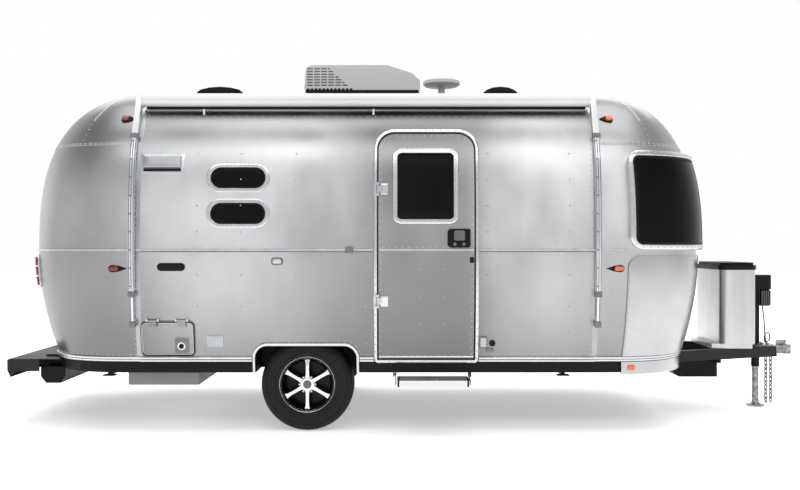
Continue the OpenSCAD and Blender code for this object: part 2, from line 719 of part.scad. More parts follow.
// Mouldings
rub_h = 40;
module body_rails() {
  belt_o = [seat, 7];
  rub_o = [2 * seat, 14];
  color([0.86, 0.87, 0.88]) {
    for (s = [-1, 1]) {
      for (x = s < 0 ? [[seam_x, door_x - door_band - 12], [door_end + door_band + 12, front_x]]
        : [[seam_x, front_x]])
        wall_band(s, x[0], x[1], belt_z - 10, belt_z + 10, belt_o[0], belt_o[1]);
      for (x = s < 0
        ? [[seam_x, arch[0] - arch_band - 2], [arch[1] + arch_band + 2, door_x - door_band - 12],
          [door_end + door_band + 12, front_x]]
        : [[seam_x, arch[0] - arch_band - 2], [arch[1] + arch_band + 2, front_x]])
        wall_band(s, x[0], x[1], shell_z + 1, shell_z + rub_h, rub_o[0], rub_o[1]);
    }
    end_strip(rear_end, 0, post[1] - 0.3, belt_z - 10, 20, belt_o[0], belt_o[1]);
    end_strip(rear_end, 180 - post[1] + 0.3, 180, belt_z - 10, 20, belt_o[0], belt_o[1]);
    end_strip(rear_end, 0, 180, shell_z + 1, rub_h - 1, seat, 14);
    end_strip(front_end, 0, frame_edge - 0.2, belt_z - 10, 20, belt_o[0], belt_o[1]);
    end_strip(front_end, 180 - frame_edge + 0.2, 180, belt_z - 10, 20, belt_o[0], belt_o[1]);
    end_strip(front_end, 0, 180, shell_z + 1, rub_h - 2, seat, 14);
  }
}
module arch_trims() {
  color([0.84, 0.85, 0.86])
    for (s = [-1, 1])
      intersection() {
        wall_band(s, arch[0] - arch_band - 1, arch[1] + arch_band + 1, arch_low,
          arch_top + arch_band, seat, 16);
        through(s) difference() {
          rrect(arch[0] - arch_band, arch_low - 200, arch[1] + arch_band, arch_top + arch_band,
            arch_r + arch_band);
          rrect(arch[0], arch_low - 300, arch[1], arch_top, arch_r);
        }
      }
}
guard_cols = [for (a = cols) if (a > frame_edge - 0.1 && a < post[0] + 0.1) a];
guard_rows = [for (z = rows) if (z > guard_lo - 1 && z < guard_hi + 1) z];
module stone_guards() {
  color([0.86, 0.87, 0.88])
    for (s = [0, 1])
      mirror([0, s, 0]) {
        skin(front_end, guard_rows, guard_cols, seat, 16, function(z, a) true);
        end_strip(front_end, frame_edge, post[0], belly_z - 12, belly_h + 13 - seat, seat, 10);
      }
}

// Awning: roller under the roof edge, held by an arm at each seam
roller_y = half_w - 189;
arm_foot = 1;           // gap between an arm's foot and the wall
roller_z = crown_z - 139;
arm_w = 42;
arm_low = 785;
arm_mid = 1020;
arm_top = 2180;
arm_o = [12, 42];
arm_x = [seam_x - 12 - arm_w, front_x - 12];
module arm_section(z0, z1, o0, o1) {
  v = [for (z = zs(z0, z1)) z];
  polygon(concat([for (z = v) [wall_y(z) + o1, z]], [for (z = flip(v)) [wall_y(z) + o0, z]]));
}
module awning_arms() {
  color([0.72, 0.73, 0.74])
    for (x = arm_x)
      mirror([0, 1, 0]) {
        translate([x, 0, 0]) rotate([90, 0, 90]) linear_extrude(arm_w) {
          arm_section(arm_mid, arm_top, arm_o[0], arm_o[1]);
          polygon([[wall_y(arm_top) + arm_o[1], arm_top - 1],
            [wall_y(arm_top) + arm_o[0], arm_top - 1], [roller_y - 22, roller_z - 8],
            [roller_y - 22, roller_z + 22], [roller_y + 22, roller_z + 22]]);
        }
        translate([x + 8, 0, 0]) rotate([90, 0, 90]) linear_extrude(arm_w - 16)
          arm_section(arm_low, arm_mid + 1, arm_o[0], arm_o[1] - 8);
        // feet that carry the arm on the wall
        for (z = [arm_low + 20, belt_z + 90])
          translate([x + 8, 0, 0]) rotate([90, 0, 90]) linear_extrude(arm_w - 16)
            polygon([[wall_y(z) + arm_foot, z], [wall_y(z) + arm_o[0] + 2, z],
              [wall_y(z + 40) + arm_o[0] + 2, z + 40], [wall_y(z + 40) + arm_foot, z + 40]]);
      }
}
// The feet stop a little off the curved ends
module awning_roller() {
  x0 = arm_x[0] + arm_w + seat;
  x1 = arm_x[1] - seat;
  color([0.80, 0.80, 0.80]) {
    translate([x0 + 12, -roller_y, roller_z]) rotate([0, 90, 0]) cylinder(h = x1 - x0 - 24, r = roller_r);
    for (x = [x0, x1 - 12])
      translate([x, -roller_y, roller_z]) rotate([0, 90, 0]) cylinder(h = 12, r = roller_r + 4);
    // pull strap hooks
    for (x = [-382, -1640])
      translate([x, -roller_y - 8, roller_z - roller_r - 60]) cube([14, 8, 64]);
  }
}

// Small pieces on the door side wall
module wall_fittings() {
  color([0.75, 0.76, 0.78]) {
    // hooded vent
    wall_plate(-1, vent[0], vent[1], vent[2], vent[3], 8, seat, 26);
    // badge, blank
    wall_plate(-1, -1934, 1187, -1732, 1245, 29, seat, 8);
    // catch that holds the door open
    wall_plate(-1, -1110, 1230, -1023, 1285, 20, seat, 10);
    // water filler cover
    wall_plate(-1, -1587, 631, -1464, 718, 6, seat, 6);
    // outlet box, round cap and oval cover ahead of the door
    wall_plate(-1, door_end + 40, 624, door_end + 98, 710, 6, seat, 16);
    wall_plate(-1, door_end + 112, 638, door_end + 156, 682, 21.9, seat, 18);
    wall_plate(-1, door_end + 83, 596, door_end + 148, 622, 12.9, seat, 8);
  }
}
lens_h = 58;
lens_a = [1.4, 3.5, 6.2];  // plan angles that a marker light spans
lens_in = 1.3;         // the lower lights sit this far inside the curve, on the flat facets
upper_z = rows[split_row - 1];
module markers(end) {
  all = function(z, a) true;
  for (s = [0, 1])
    mirror([0, s, 0]) {
      skin(end, [belt_z - 165, belt_z - 165 + lens_h], lens_a, seat - lens_in, 24, all);
      skin(end, [upper_z - 12, upper_z, upper_z + lens_h - 12], lens_a, seat, 24, all);
    }
}
module amber_lights() {
  color([0.95, 0.45, 0.08]) {
    markers(front_end);
    for (s = [0, 1])
      mirror([0, s, 0])
        end_strip(front_end, 9.6, 13.2, belly_z + 15, 46, 10 + 2 * seat, 20, shell_z + 1);
  }
}
module red_lights() {
  color([0.70, 0.05, 0.05]) {
    markers(rear_end);
    for (s = [0, 1])
      mirror([0, s, 0])
        skin(rear_end, [rows[3], rows[4]], [53, 57, post[0]], seat, 34, function(z, a) true);
  }
}

// Roof equipment
ac_x = -962;
ac_y = 350;
ac_base_h = 34;
ac_top = crown_z + 260;
module ac_shroud() {
  z0 = crown_z + ac_base_h + 2 * seat;
  x1 = ac_x + ac_len;
  color([0.82, 0.83, 0.84])
    translate([0, ac_y, 0]) rotate([90, 0, 0]) linear_extrude(2 * ac_y)
      polygon([[ac_x + 8, z0], [ac_x, z0 + 40], [ac_x + 10, ac_top - 40], [ac_x + 34, ac_top - 8],
        [ac_x + 70, ac_top], [x1 - 273, ac_top], [x1 - 68, ac_top - 65], [x1 - 4, ac_top - 123],
        [x1, ac_top - 160], [x1 - 6, z0]]);
}
vent_c = [-1696, 669];
vent_half = [192, 142];
vent_base_h = 50;
lid_z0 = crown_z + vent_base_h + 2 * seat;
lid_axis = [14, 10];   // how far the lid's pin lies behind and above its rear edge
lid_knuckle = 40;
module roof_bases() {
  color([0.10, 0.10, 0.11]) {
    translate([ac_x + 20, -ac_y + 20, crown_z + seat]) cube([ac_len - 50, 2 * ac_y - 40, ac_base_h]);
    for (i = [0, 1])
      let (x = vent_c[i] - vent_half[i] - lid_axis[0]) {
        translate([vent_c[i] - vent_half[i] + 12, -vent_half[1], crown_z + seat])
          cube([2 * vent_half[i] - 24, 2 * vent_half[1], vent_base_h]);
        for (s = [-1, 1])
          translate([x - 8, s * (lid_knuckle + 11) - 5, crown_z + seat + 10]) {
            cube([40, 10, vent_base_h - 10]);
            cube([13, 10, vent_base_h - 0.7]);
          }
        translate([x, -lid_knuckle - 14, lid_z0 + lid_axis[1] - 8])
          rotate([-90, 0, 0])
            cylinder(h = 2 * lid_knuckle + 28, r = 5);
      }
  }
}
module vent_lid(i) {
  w = vent_half[i];
  d = vent_half[1] + 6;
  h = 68;
  color([0.09, 0.09, 0.10]) {
    translate([vent_c[i], d, lid_z0]) rotate([90, 0, 0]) linear_extrude(2 * d)
      polygon([[-w, 0], [-w, 22], [-w + 30, 44], [-w * 0.45, h - 6], [0, h], [w * 0.45, h - 6],
        [w - 30, 44], [w, 22], [w, 0]]);
    difference() {
      translate([vent_c[i] - w - lid_axis[0], -lid_knuckle, lid_z0 + lid_axis[1] - 8])
        rotate([-90, 0, 0])
          union() {
            cylinder(h = 2 * lid_knuckle, r = 9);
            translate([0, -6, 0]) cube([lid_axis[0] + 1, 5, 2 * lid_knuckle]);
          }
      translate([vent_c[i] - w - lid_axis[0], -lid_knuckle - 1, lid_z0 + lid_axis[1] - 8])
        rotate([-90, 0, 0])
          cylinder(h = 2 * lid_knuckle + 2, r = 5 + fit);
    }
  }
}
module vent_lid_rear() { vent_lid(0); }
module vent_lid_front() { vent_lid(1); }
antenna_x = 178;
module antenna() {
  color([0.88, 0.88, 0.88])
    translate([antenna_x, 0, crown_z + seat])
      rotate_extrude($fn = 64)
        polygon([[0, 0], [60, 0], [60, 10], [30, 20], [28, 138], [disc_r - 20, 146], [disc_r, 160],
          [disc_r, 186], [disc_r - 30, 206], [60, 211], [0, 211]]);
}

// Bottle cover on its shelf over the A-frame
cover_x = front_x + 1224;
cover_l = 297;
cover_y = 330;
cover_z = 558;
lid_z = 1170;
module bottle_cover() {
  color([0.78, 0.79, 0.80]) {
    translate([0, 0, cover_z])
      linear_extrude(lid_z - cover_z)
        rrect(cover_x, -cover_y, cover_x + cover_l, cover_y, 70);
    translate([cover_x - 60, -cover_y + 60, tongue_top + seat])
      cube([cover_l + 40, 2 * cover_y - 120, cover_z - tongue_top - 2 * seat]);
  }
}
module bottle_lid() {
  color([0.10, 0.10, 0.11])
    translate([0, 0, lid_z + seat]) {
      linear_extrude(38) rrect(cover_x - 8, -cover_y - 8, cover_x + cover_l + 8, cover_y + 8, 78);
      translate([0, 0, 38]) linear_extrude(22)
        rrect(cover_x + 12, -cover_y + 12, cover_x + cover_l - 12, cover_y - 12, 60);
    }
}

// Power jack
jack_x = front_x + 1630;
tube_r = leg_r + 6;
tube_lo = 336;
tube_hi = 1000;
leg_top = 520;
module jack_cut() {
  translate([jack_x, 0, 300]) cylinder(h = 400, r = tube_r + seat);
}
module jack_body() {
  color([0.16, 0.16, 0.17]) {
    translate([jack_x, 0, tube_lo]) difference() {
      cylinder(h = tube_hi - tube_lo, r = tube_r);
      translate([0, 0, -1]) cylinder(h = tube_hi - tube_lo - 20, r = leg_r + fit);
    }
    translate([jack_x, 0, tongue_top + 8 + 2 * seat]) difference() {
      cylinder(h = 12, r = 62);
      translate([0, 0, -1]) cylinder(h = 14, r = tube_r - 1);
    }
    translate([0, 0, tube_hi - 1]) linear_extrude(120) rrect(jack_x - 42, -55, jack_x + 128, 55, 40);
    translate([jack_x + 80, 0, tube_hi - 145]) cylinder(h = 146, r = 42);
  }
}
module jack_leg() {
  color([0.66, 0.67, 0.68])
    translate([jack_x, 0, 0]) {
      cylinder(h = 8, r = 74);
      translate([0, 0, 8]) cylinder(h = 20, r1 = 46, r2 = leg_r);
      translate([0, 0, 28]) cylinder(h = leg_top - 28, r = leg_r);
    }
}
chain_x = [jack_x + 90, jack_x + 134];
chain_y = [-3, 3];
chain_r = 8;
module safety_chains() {
  color([0.60, 0.61, 0.62])
    for (i = [0, 1])
      translate([chain_x[i], chain_y[i], 18])
        cylinder(h = tongue_top - tongue_h - 18 - seat, r = chain_r, $fn = 24);
}

// Sweep of a round cord along its own points
function unit(v) = v / norm(v);
module cord(pts, r, sides) {
  n = len(pts);
  function dir(i) = unit(pts[min(i + 1, n - 1)] - pts[max(i - 1, 0)]);
  function side_v(i) = unit(cross(dir(i), [0.31, 0.92, 0.24]));
  rings = [for (i = [0:n - 1]) let (u = side_v(i), w = cross(dir(i), u))
    for (k = [0:sides - 1]) pts[i] + r * (cos(360 * k / sides) * u + sin(360 * k / sides) * w)];
  faces = concat([[for (k = [0:sides - 1]) k]],
    [[for (k = [sides - 1:-1:0]) (n - 1) * sides + k]],
    [for (i = [0:n - 2]) for (k = [0:sides - 1]) let (l = (k + 1) % sides, a = i * sides, b = a + sides)
      each [[a + k, b + k, b + l], [a + k, b + l, a + l]]]);
  polyhedron(points = rings, faces = faces);
}
// A rounded route through a few chosen points
function mix(a, b, t) = a + (b - a) * t;
function bend(p, m) = [for (i = [0:len(p) - 2]) for (k = [0:m - 1]) let (t = k / m,
  a = p[max(i - 1, 0)], b = p[i], c = p[i + 1], d = p[min(i + 2, len(p) - 1)])
  0.5 * (2 * b + (c - a) * t + (2 * a - 5 * b + 4 * c - d) * t * t
    + (3 * b - a - 3 * c + d) * t * t * t)];
cable_pts = [[60, 0, 337.6], [64, -30, 220], [60, -60, 90], [70, -64, 36], [100, -60, 60],
  [92, -58, 110], [60, -58, 96], [56, -62, 40], [80, -70, 22]];
module front_cable() {
  color([0.05, 0.05, 0.05])
    translate([jack_x, 0, tongue_top])
      cord(concat(bend(cable_pts, 5), [cable_pts[len(cable_pts) - 1]]), 5, 8);
}

// Entry step, swung out
step_x = -199;
step_pivot = [-half_w + 160, belly_z - 22];
step_fall = 9.7;
tread_pivot = [step_pivot[0] - step_arm * cos(step_fall), step_pivot[1] - step_arm * sin(step_fall)];
tread_t = 44;
tread_d = 230;
tread_wall = 8;
step_pin = 8;
arm_plate = 8;
side_gap = 6;
module x_disc(x, p, w, r) {
  translate([x, p[0], p[1]]) rotate([0, 90, 0]) cylinder(h = w, r = r);
}
module step_frame() {
  color([0.09, 0.09, 0.10])
    for (x = [step_x - 2 * side_gap - arm_plate - 10, step_x + step_w + 2 * side_gap + arm_plate])
      difference() {
        union() {
          translate([x, step_pivot[0] - 20, step_pivot[1]])
            cube([10, 160, belly_z - seat - step_pivot[1]]);
          x_disc(x, step_pivot, 10, 20);
        }
        x_disc(x - 1, step_pivot, 12, step_pin + fit);
        translate([x - 1, step_pivot[0] - 30, belly_z - seat]) cube([12, 60, 60]);
      }
}
module step_arms() {
  color([0.35, 0.35, 0.36])
    for (i = [0, 1])
      let (x = i == 0 ? step_x - side_gap - arm_plate : step_x + step_w + side_gap) {
        difference() {
          translate([x, 0, 0]) rotate([90, 0, 90]) linear_extrude(arm_plate) {
            translate(step_pivot) circle(16);
            translate(tread_pivot) circle(16);
            polygon([[step_pivot[0], step_pivot[1] - 14], [step_pivot[0], step_pivot[1] + 14],
              [tread_pivot[0], tread_pivot[1] + 14], [tread_pivot[0], tread_pivot[1] - 14]]);
          }
          x_disc(x - 1, tread_pivot, arm_plate + 2, step_pin + fit);
        }
        x_disc(i == 0 ? x - side_gap - 10 : x + arm_plate - 0.5, step_pivot, side_gap + 10.5, step_pin);
      }
}
module step_tread() {
  color([0.72, 0.73, 0.74]) {
    difference() {
      translate([step_x, tread_pivot[0] - 66, tread_pivot[1] - tread_t / 2])
        cube([step_w, tread_d, tread_t]);
      translate([step_x + tread_wall, tread_pivot[0] - 66 + tread_wall, tread_pivot[1] - tread_t / 2 - 1])
        cube([step_w - 2 * tread_wall, tread_d - 2 * tread_wall, tread_t - tread_wall + 1]);
    }
    x_disc(step_x - side_gap - arm_plate, tread_pivot, side_gap + arm_plate + 1, step_pin);
    x_disc(step_x + step_w - 1, tread_pivot, side_gap + arm_plate + 1, step_pin);
  }
}

// Stabiliser legs, folded under the tray
stab_x = [seam_x - 292, front_x - 190];
stab_y = 520;
stab_z = belly_z - 30;
stab_len = 400;
stab_pin = 8;
module stabiliser_mounts() {
  color([0.08, 0.08, 0.09])
    for (x = stab_x)
      for (s = [-1, 1])
        for (e = [x - 30, x + 22])
          difference() {
            union() {
              translate([e, s * stab_y - 20, stab_z]) cube([8, 40, belly_z - seat - stab_z]);
              x_disc(e, [s * stab_y, stab_z], 8, 20);
            }
            x_disc(e - 1, [s * stab_y, stab_z], 10, stab_pin + fit);
          }
}
module stabiliser(x, s) {
  color([0.12, 0.12, 0.13]) {
    translate([x - 16, s > 0 ? stab_y - 14 : -stab_y - stab_len, stab_z - 14])
      cube([32, stab_len + 14, 28]);
    x_disc(x - 30, [s * stab_y, stab_z], 60, stab_pin);
    translate([x - 45, s * (stab_y + stab_len) - 35, stab_z - 20]) cube([90, 70, 8]);
  }
}
module stabiliser_rd() { stabiliser(stab_x[0], -1); }
module stabiliser_ro() { stabiliser(stab_x[0], 1); }
module stabiliser_fd() { stabiliser(stab_x[1], -1); }
module stabiliser_fo() { stabiliser(stab_x[1], 1); }

side_wall_door();
side_wall_off();
roof_panel();
front_end_cap();
rear_end_cap();
floor_deck();
belly_tray();
wheel_wells();
chassis();
a_frame();
coupler();
bumper();
underbody_boxes();
axle_beam();
hubs();
tyre_door();
rim_door();
tyre_off();
rim_off();
door_leaf();
door_glass();
door_trim();
door_handle();
door_hinges();
door_surround();
hinge_pins();
bag_door();
side_window_frames();
side_window_glass();
end_window_frames();
end_window_glass();
body_rails();
arch_trims();
stone_guards();
awning_roller();
awning_arms();
wall_fittings();
amber_lights();
red_lights();
ac_shroud();
roof_bases();
antenna();
vent_lid_rear();
vent_lid_front();
bottle_cover();
bottle_lid();
jack_body();
jack_leg();
safety_chains();
front_cable();
step_frame();
step_arms();
step_tread();
stabiliser_mounts();
stabiliser_rd();
stabiliser_ro();
stabiliser_fd();
stabiliser_fo();
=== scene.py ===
"""Riveted aluminium travel caravan: skins, trim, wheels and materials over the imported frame."""
import math

import bmesh
import bpy
import numpy as np
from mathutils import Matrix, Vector


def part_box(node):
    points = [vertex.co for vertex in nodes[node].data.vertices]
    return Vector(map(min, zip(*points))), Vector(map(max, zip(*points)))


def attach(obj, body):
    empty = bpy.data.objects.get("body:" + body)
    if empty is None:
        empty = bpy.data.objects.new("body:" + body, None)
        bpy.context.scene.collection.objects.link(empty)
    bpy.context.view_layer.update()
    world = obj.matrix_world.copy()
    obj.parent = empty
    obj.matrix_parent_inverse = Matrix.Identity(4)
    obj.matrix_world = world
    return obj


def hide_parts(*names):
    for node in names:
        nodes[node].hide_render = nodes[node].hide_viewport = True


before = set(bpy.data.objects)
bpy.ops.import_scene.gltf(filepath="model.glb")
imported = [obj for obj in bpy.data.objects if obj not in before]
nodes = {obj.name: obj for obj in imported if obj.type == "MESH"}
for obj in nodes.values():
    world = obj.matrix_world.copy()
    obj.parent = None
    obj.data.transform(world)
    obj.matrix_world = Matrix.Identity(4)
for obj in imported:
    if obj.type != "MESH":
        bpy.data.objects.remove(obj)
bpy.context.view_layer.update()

# ---- sizes, metres
wall_lo, wall_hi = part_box("side_wall_door")
cap_lo, cap_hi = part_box("front_end_cap")
SIDES = ((-1, "door"), (1, "off"))
SEAM = (wall_lo.x, wall_hi.x)                       # where the end caps begin
SHELL_Z, CROWN, SPLIT = cap_lo.z, cap_hi.z, wall_hi.z
HALF_W = cap_hi.y
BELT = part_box("end_window_frames")[0].z             # the widest height
RISE = CROWN - BELT
WALL = 0.04
SKIN_IN = WALL - 0.002                              # thickness of a door's skin
RUB_Z = 0.5405                                      # middle of the rub rail
GAP = 0.008                                         # round the doors
# an end cap: seam, length, tuck at the foot, direction
FRONT = (SEAM[1], cap_hi.x - SEAM[1], 0.13, 1)
REAR = (SEAM[0], SEAM[0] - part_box("rear_end_cap")[0].x, 0.155, -1)
CAPS = {"front": FRONT, "rear": REAR}
SEC_N, END_M, PLAN_P = 3.6, 2.55, 2.9               # powers of the section, profile and plan
DROP, SIDE_TUCK = 0.789, 0.065


def narrowing(z, power, tuck):
    """The share of full reach at height z: a power curve above the belt, a slight tuck below."""
    up = (1 - np.clip((z - BELT) / RISE, 0, 1) ** power) ** (1 / power)
    return np.where(z > BELT, up, 1 - tuck * ((BELT - z) / DROP) ** 2)


def side_f(z):
    return narrowing(z, SEC_N, SIDE_TUCK)


def end_f(z, tuck):
    return narrowing(z, END_M, tuck)


def cap_pt(end, a, z, o=0.0):
    """A point on an end cap at plan angle a (degrees, 0 on +Y) and height z, o outside the skin."""
    a, z, o = np.broadcast_arrays(np.radians(a), z, o)
    x = end[0] + end[3] * (end[1] + o) * end_f(z, end[2]) * np.abs(np.sin(a)) ** (2 / PLAN_P)
    y = (HALF_W + o) * side_f(z) * np.sign(np.cos(a)) * np.abs(np.cos(a)) ** (2 / PLAN_P)
    return np.stack([x, y, np.where(z > BELT, BELT + (z - BELT) * (RISE + o) / RISE, z)], -1)


def side_pt(side, x, z, o=0.0):
    """A point on a side wall, o outside the skin along its normal."""
    x, z, o = np.broadcast_arrays(x, z, o)
    y = HALF_W * side_f(z)
    dy = HALF_W * (side_f(z + 1e-4) - side_f(z - 1e-4)) / 2e-4
    n = np.sqrt(1 + dy * dy)
    return np.stack([x + 0 * z, side * (y + o / n), z - o * dy / n], -1)


# ---- materials
def node(t, kind, **values):
    """A shader node with inputs set by name; an underscore stands for a space."""
    n = t.nodes.new("ShaderNode" + kind)
    for key, value in values.items():
        n.inputs[key.replace("_", " ")].default_value = value
    return n


def principled(name, **values):
    m = bpy.data.materials.new(name)
    m.use_nodes = True
    b = m.node_tree.nodes["Principled BSDF"]
    for key, value in values.items():
        b.inputs[key.replace("_", " ")].default_value = value
    return m, m.node_tree, b


def noise(t, scale, detail=3.0, stretch=(1, 1, 1), output="Fac"):
    place = node(t, "Mapping", Scale=stretch)
    n = node(t, "TexNoise", Scale=scale, Detail=detail)
    t.links.new(node(t, "TexCoord").outputs["Object"], place.inputs["Vector"])
    t.links.new(place.outputs["Vector"], n.inputs["Vector"])
    return n.outputs[output]


def ramp(t, source, lo, hi, a, b):
    """source brought from a..b to lo..hi."""
    r = node(t, "MapRange", From_Min=a, From_Max=b, To_Min=lo, To_Max=hi)
    t.links.new(source, r.inputs["Value"])
    return r.outputs["Result"]


def colors(t, source, stops, blend="LINEAR"):
    """A colour ramp through (position, colour) stops."""
    c = node(t, "ValToRGB")
    c.color_ramp.interpolation = blend
    for k, (place, color) in enumerate(stops):
        e = c.color_ramp.elements[k] if k < 2 else c.color_ramp.elements.new(1.0)
        e.position = place
        e.color = (*color, 1)
    t.links.new(source, c.inputs["Fac"])
    return c.outputs["Color"]


def tint(t, source, dark, light):
    return colors(t, source, ((0.3, dark), (0.7, light)))


def levels(t, source, lo, hi, stops):
    """A smooth curve of brightness over a distance from lo to hi, as (distance, level) stops."""
    greys = [((d - lo) / (hi - lo), (v, v, v)) for d, v in stops]
    return colors(t, ramp(t, source, 0, 1, lo, hi), greys, "B_SPLINE")


def bump(t, bsdf, source, strength, distance):
    b = node(t, "Bump", Strength=strength, Distance=distance)
    t.links.new(source, b.inputs["Height"])
    t.links.new(b.outputs["Normal"], bsdf.inputs["Normal"])


def times(t, a, b):
    m = t.nodes.new("ShaderNodeMath")
    m.operation = "MULTIPLY"
    t.links.new(a, m.inputs[0])
    t.links.new(b, m.inputs[1])
    return m.outputs[0]


def mixed(t, white, factor, color):
    """A linked colour mixed with white, which is on socket A or B."""
    m = t.nodes.new("ShaderNodeMix")
    m.data_type = "RGBA"
    m.inputs[white].default_value = (1, 1, 1, 1)
    t.links.new(factor, m.inputs["Factor"])
    t.links.new(color, m.inputs["B" if white == "A" else "A"])
    return m.outputs["Result"]


def surface(name, color, rough, metal=0.0, spread=0.12, scale=6.0, stretch=(1, 1, 1), grain=60.0,
            depth=0.0004, gloss=0.5):
    """A finish with cloudy colour and roughness and a fine grain in its bump."""
    m, t, b = principled(name, Metallic=metal, Specular_IOR_Level=gloss)
    cloud = noise(t, scale, 4.0, stretch)
    dark = tuple(c * (1 - spread) for c in color)
    light = tuple(min(1, c * (1 + spread)) for c in color)
    t.links.new(tint(t, cloud, dark, light), b.inputs["Base Color"])
    t.links.new(ramp(t, cloud, rough * 0.85, rough * 1.2, 0.3, 0.7), b.inputs["Roughness"])
    bump(t, b, noise(t, grain, 2.0, stretch), 0.35, depth)
    return m


# painted light and shade of the sheet: its brightness along X, along X low on the wall, and up Z
X_RANGE, Z_RANGE = (-3.2, 2.4), (0.4, 2.8)
PAINTED_LIGHT_ALONG = ((-3.1, 0.4), (-2.72, 0.62), (-2.35, 0.46), (-2.02, 0.5), (-1.62, 0.98), (-1.22, 0.86),
         (-0.72, 1.0), (-0.36, 0.58), (-0.12, 0.36), (0.3, 0.36), (0.55, 0.3), (0.72, 0.8),
         (1.15, 1.0), (1.44, 0.72), (1.8, 0.86), (2.3, 0.6))
PAINTED_LIGHT_LOW = ((-3.0, 0.9), (-2.66, 0.84), (-2.3, 0.34), (-1.96, 0.3), (-1.62, 0.86), (-1.3, 1.0),
            (-0.8, 0.86), (-0.46, 0.28), (-0.1, 0.5), (0.22, 0.46), (0.5, 0.3), (0.78, 0.92),
            (1.5, 1.0), (2.2, 0.8))
PAINTED_LIGHT_UP = ((0.52, 0.12), (0.82, 0.3), (1.1, 0.44), (1.4, 0.66), (1.75, 0.95), (2.0, 0.95),
          (2.2, 0.66), (2.42, 0.26), (2.6, 0.14), (2.78, 0.26))
WAVER = 0.34                                        # how far the painted light bands wander, metres


def skin_material(name, color, rough):
    """Satin sheet aluminium with painted reflections and shade: darker in soft bands beside the door,
    the seams and the roof edge.
    """
    m, t, b = principled(name, Metallic=1.0)
    xyz = node(t, "SeparateXYZ")
    shift = t.nodes.new("ShaderNodeVectorMath")
    shift.operation = "MULTIPLY_ADD"
    shift.inputs[1].default_value = (WAVER,) * 3
    t.links.new(noise(t, 1.1, 2.0, (1, 1, 0.6), "Color"), shift.inputs[0])
    t.links.new(node(t, "TexCoord").outputs["Object"], shift.inputs[2])
    t.links.new(shift.outputs[0], xyz.inputs[0])
    x, z = xyz.outputs["X"], xyz.outputs["Z"]
    cloud = noise(t, 2.2, 3.0, (1, 1, 0.55))
    # painted reflections and shade: the colour is scaled along X and up Z, and low on the wall by a
    # second curve along X
    level = times(t, times(t, levels(t, x, *X_RANGE, PAINTED_LIGHT_ALONG), levels(t, z, *Z_RANGE, PAINTED_LIGHT_UP)),
                  ramp(t, cloud, 0.78, 1.18, 0.3, 0.7))
    low = levels(t, x, *X_RANGE, PAINTED_LIGHT_LOW)
    level = times(t, level, mixed(t, "A", ramp(t, z, 0.95, 0.25, 0.85, 1.75), low))
    shade = colors(t, ramp(t, level, 0.16, 0.92, 0.0, 1.0), ((0, (0, 0, 0)), (1, color)))
    t.links.new(shade, b.inputs["Base Color"])
    t.links.new(ramp(t, cloud, rough * 0.8, rough * 1.2, 0.3, 0.7), b.inputs["Roughness"])
    bump(t, b, noise(t, 1.7, 1.5), 0.55, 0.012)
    return m


def glass_material(name, color, rough):
    m, t, b = principled(name, Roughness=rough, Specular_IOR_Level=0.07)
    light = tuple(c * 1.5 + 0.004 for c in color)
    t.links.new(tint(t, noise(t, 1.2, 2.0), color, light), b.inputs["Base Color"])
    return m


def lens_material(name, color):
    m, t, b = principled(name, Roughness=0.18, Coat_Weight=0.5)
    w = node(t, "TexWave", Scale=60)
    t.links.new(node(t, "TexCoord").outputs["Object"], w.inputs["Vector"])
    dark = tuple(c * 0.7 for c in color)
    t.links.new(tint(t, w.outputs["Fac"], dark, color), b.inputs["Base Color"])
    bump(t, b, w.outputs["Fac"], 0.3, 0.001)
    return m


SKIN = skin_material("skin_aluminium", (0.96, 0.965, 0.97), 0.36)
END_SKIN = skin_material("end_aluminium", (0.97, 0.975, 0.98), 0.33)
# name, colour, roughness, metal, spread, scale; then stretch, grain, depth and gloss if they differ
BRIGHT = surface("bright_trim", (0.62, 0.63, 0.64), 0.24, 1.0, 0.05, 9, grain=90, depth=0.0002)
POLISHED = surface("polished_guard", (0.46, 0.465, 0.47), 0.24, 1.0, 0.2, 1.5, grain=30, depth=0.0003)
RIVET = surface("rivet_aluminium", (0.5, 0.51, 0.52), 0.35, 1.0, 0.1, 40)
SEAMED = surface("seam_aluminium", (0.4, 0.41, 0.42), 0.35, 1.0, 0.1, 8)
BLACK = surface("black_paint", (0.0055, 0.0055, 0.006), 0.42, 0.0, 0.3, 5, grain=120, depth=0.0003,
                gloss=0.16)
GASKET = surface("gasket_rubber", (0.006, 0.006, 0.0065), 0.5, 0.0, 0.3, 12, grain=200, gloss=0.16)
STEEL = surface("frame_steel", (0.012, 0.012, 0.013), 0.42, 0.0, 0.3, 4, grain=150, gloss=0.25)
PLATE = surface("hitch_plate", (0.17, 0.175, 0.18), 0.45, 0.5, 0.2, 7, grain=120)
ZINC = surface("zinc_steel", (0.3, 0.305, 0.31), 0.38, 0.9, 0.6, 34, grain=90, depth=0.001)
GREY = surface("tank_grey", (0.24, 0.245, 0.25), 0.5, 0.2, 0.1, 4)
WHITE = surface("white_plastic", (0.52, 0.525, 0.53), 0.42, 0.0, 0.05, 3, grain=160, depth=0.0002)
DUSK = surface("grey_plastic", (0.1, 0.1, 0.105), 0.5, 0.0, 0.15, 6, grain=200)
ROLLER = surface("awning_case", (0.66, 0.67, 0.68), 0.4, 0.35, 0.06, 4, (0.2, 1, 1))
ARM = surface("awning_arm", (0.72, 0.73, 0.74), 0.34, 0.9, 0.12, 6, (1, 1, 0.3))
RUBBER = surface("tyre_rubber", (0.0085, 0.0085, 0.009), 0.62, 0.0, 0.3, 14, grain=220, depth=0.0006,
                 gloss=0.25)
MACHINED = surface("machined_alloy", (0.8, 0.81, 0.82), 0.24, 1.0, 0.06, 20, (8, 8, 1), 120)
DARK_ALLOY = surface("black_alloy", (0.003, 0.003, 0.0035), 0.3, 0.0, 0.2, 10, gloss=0.2)
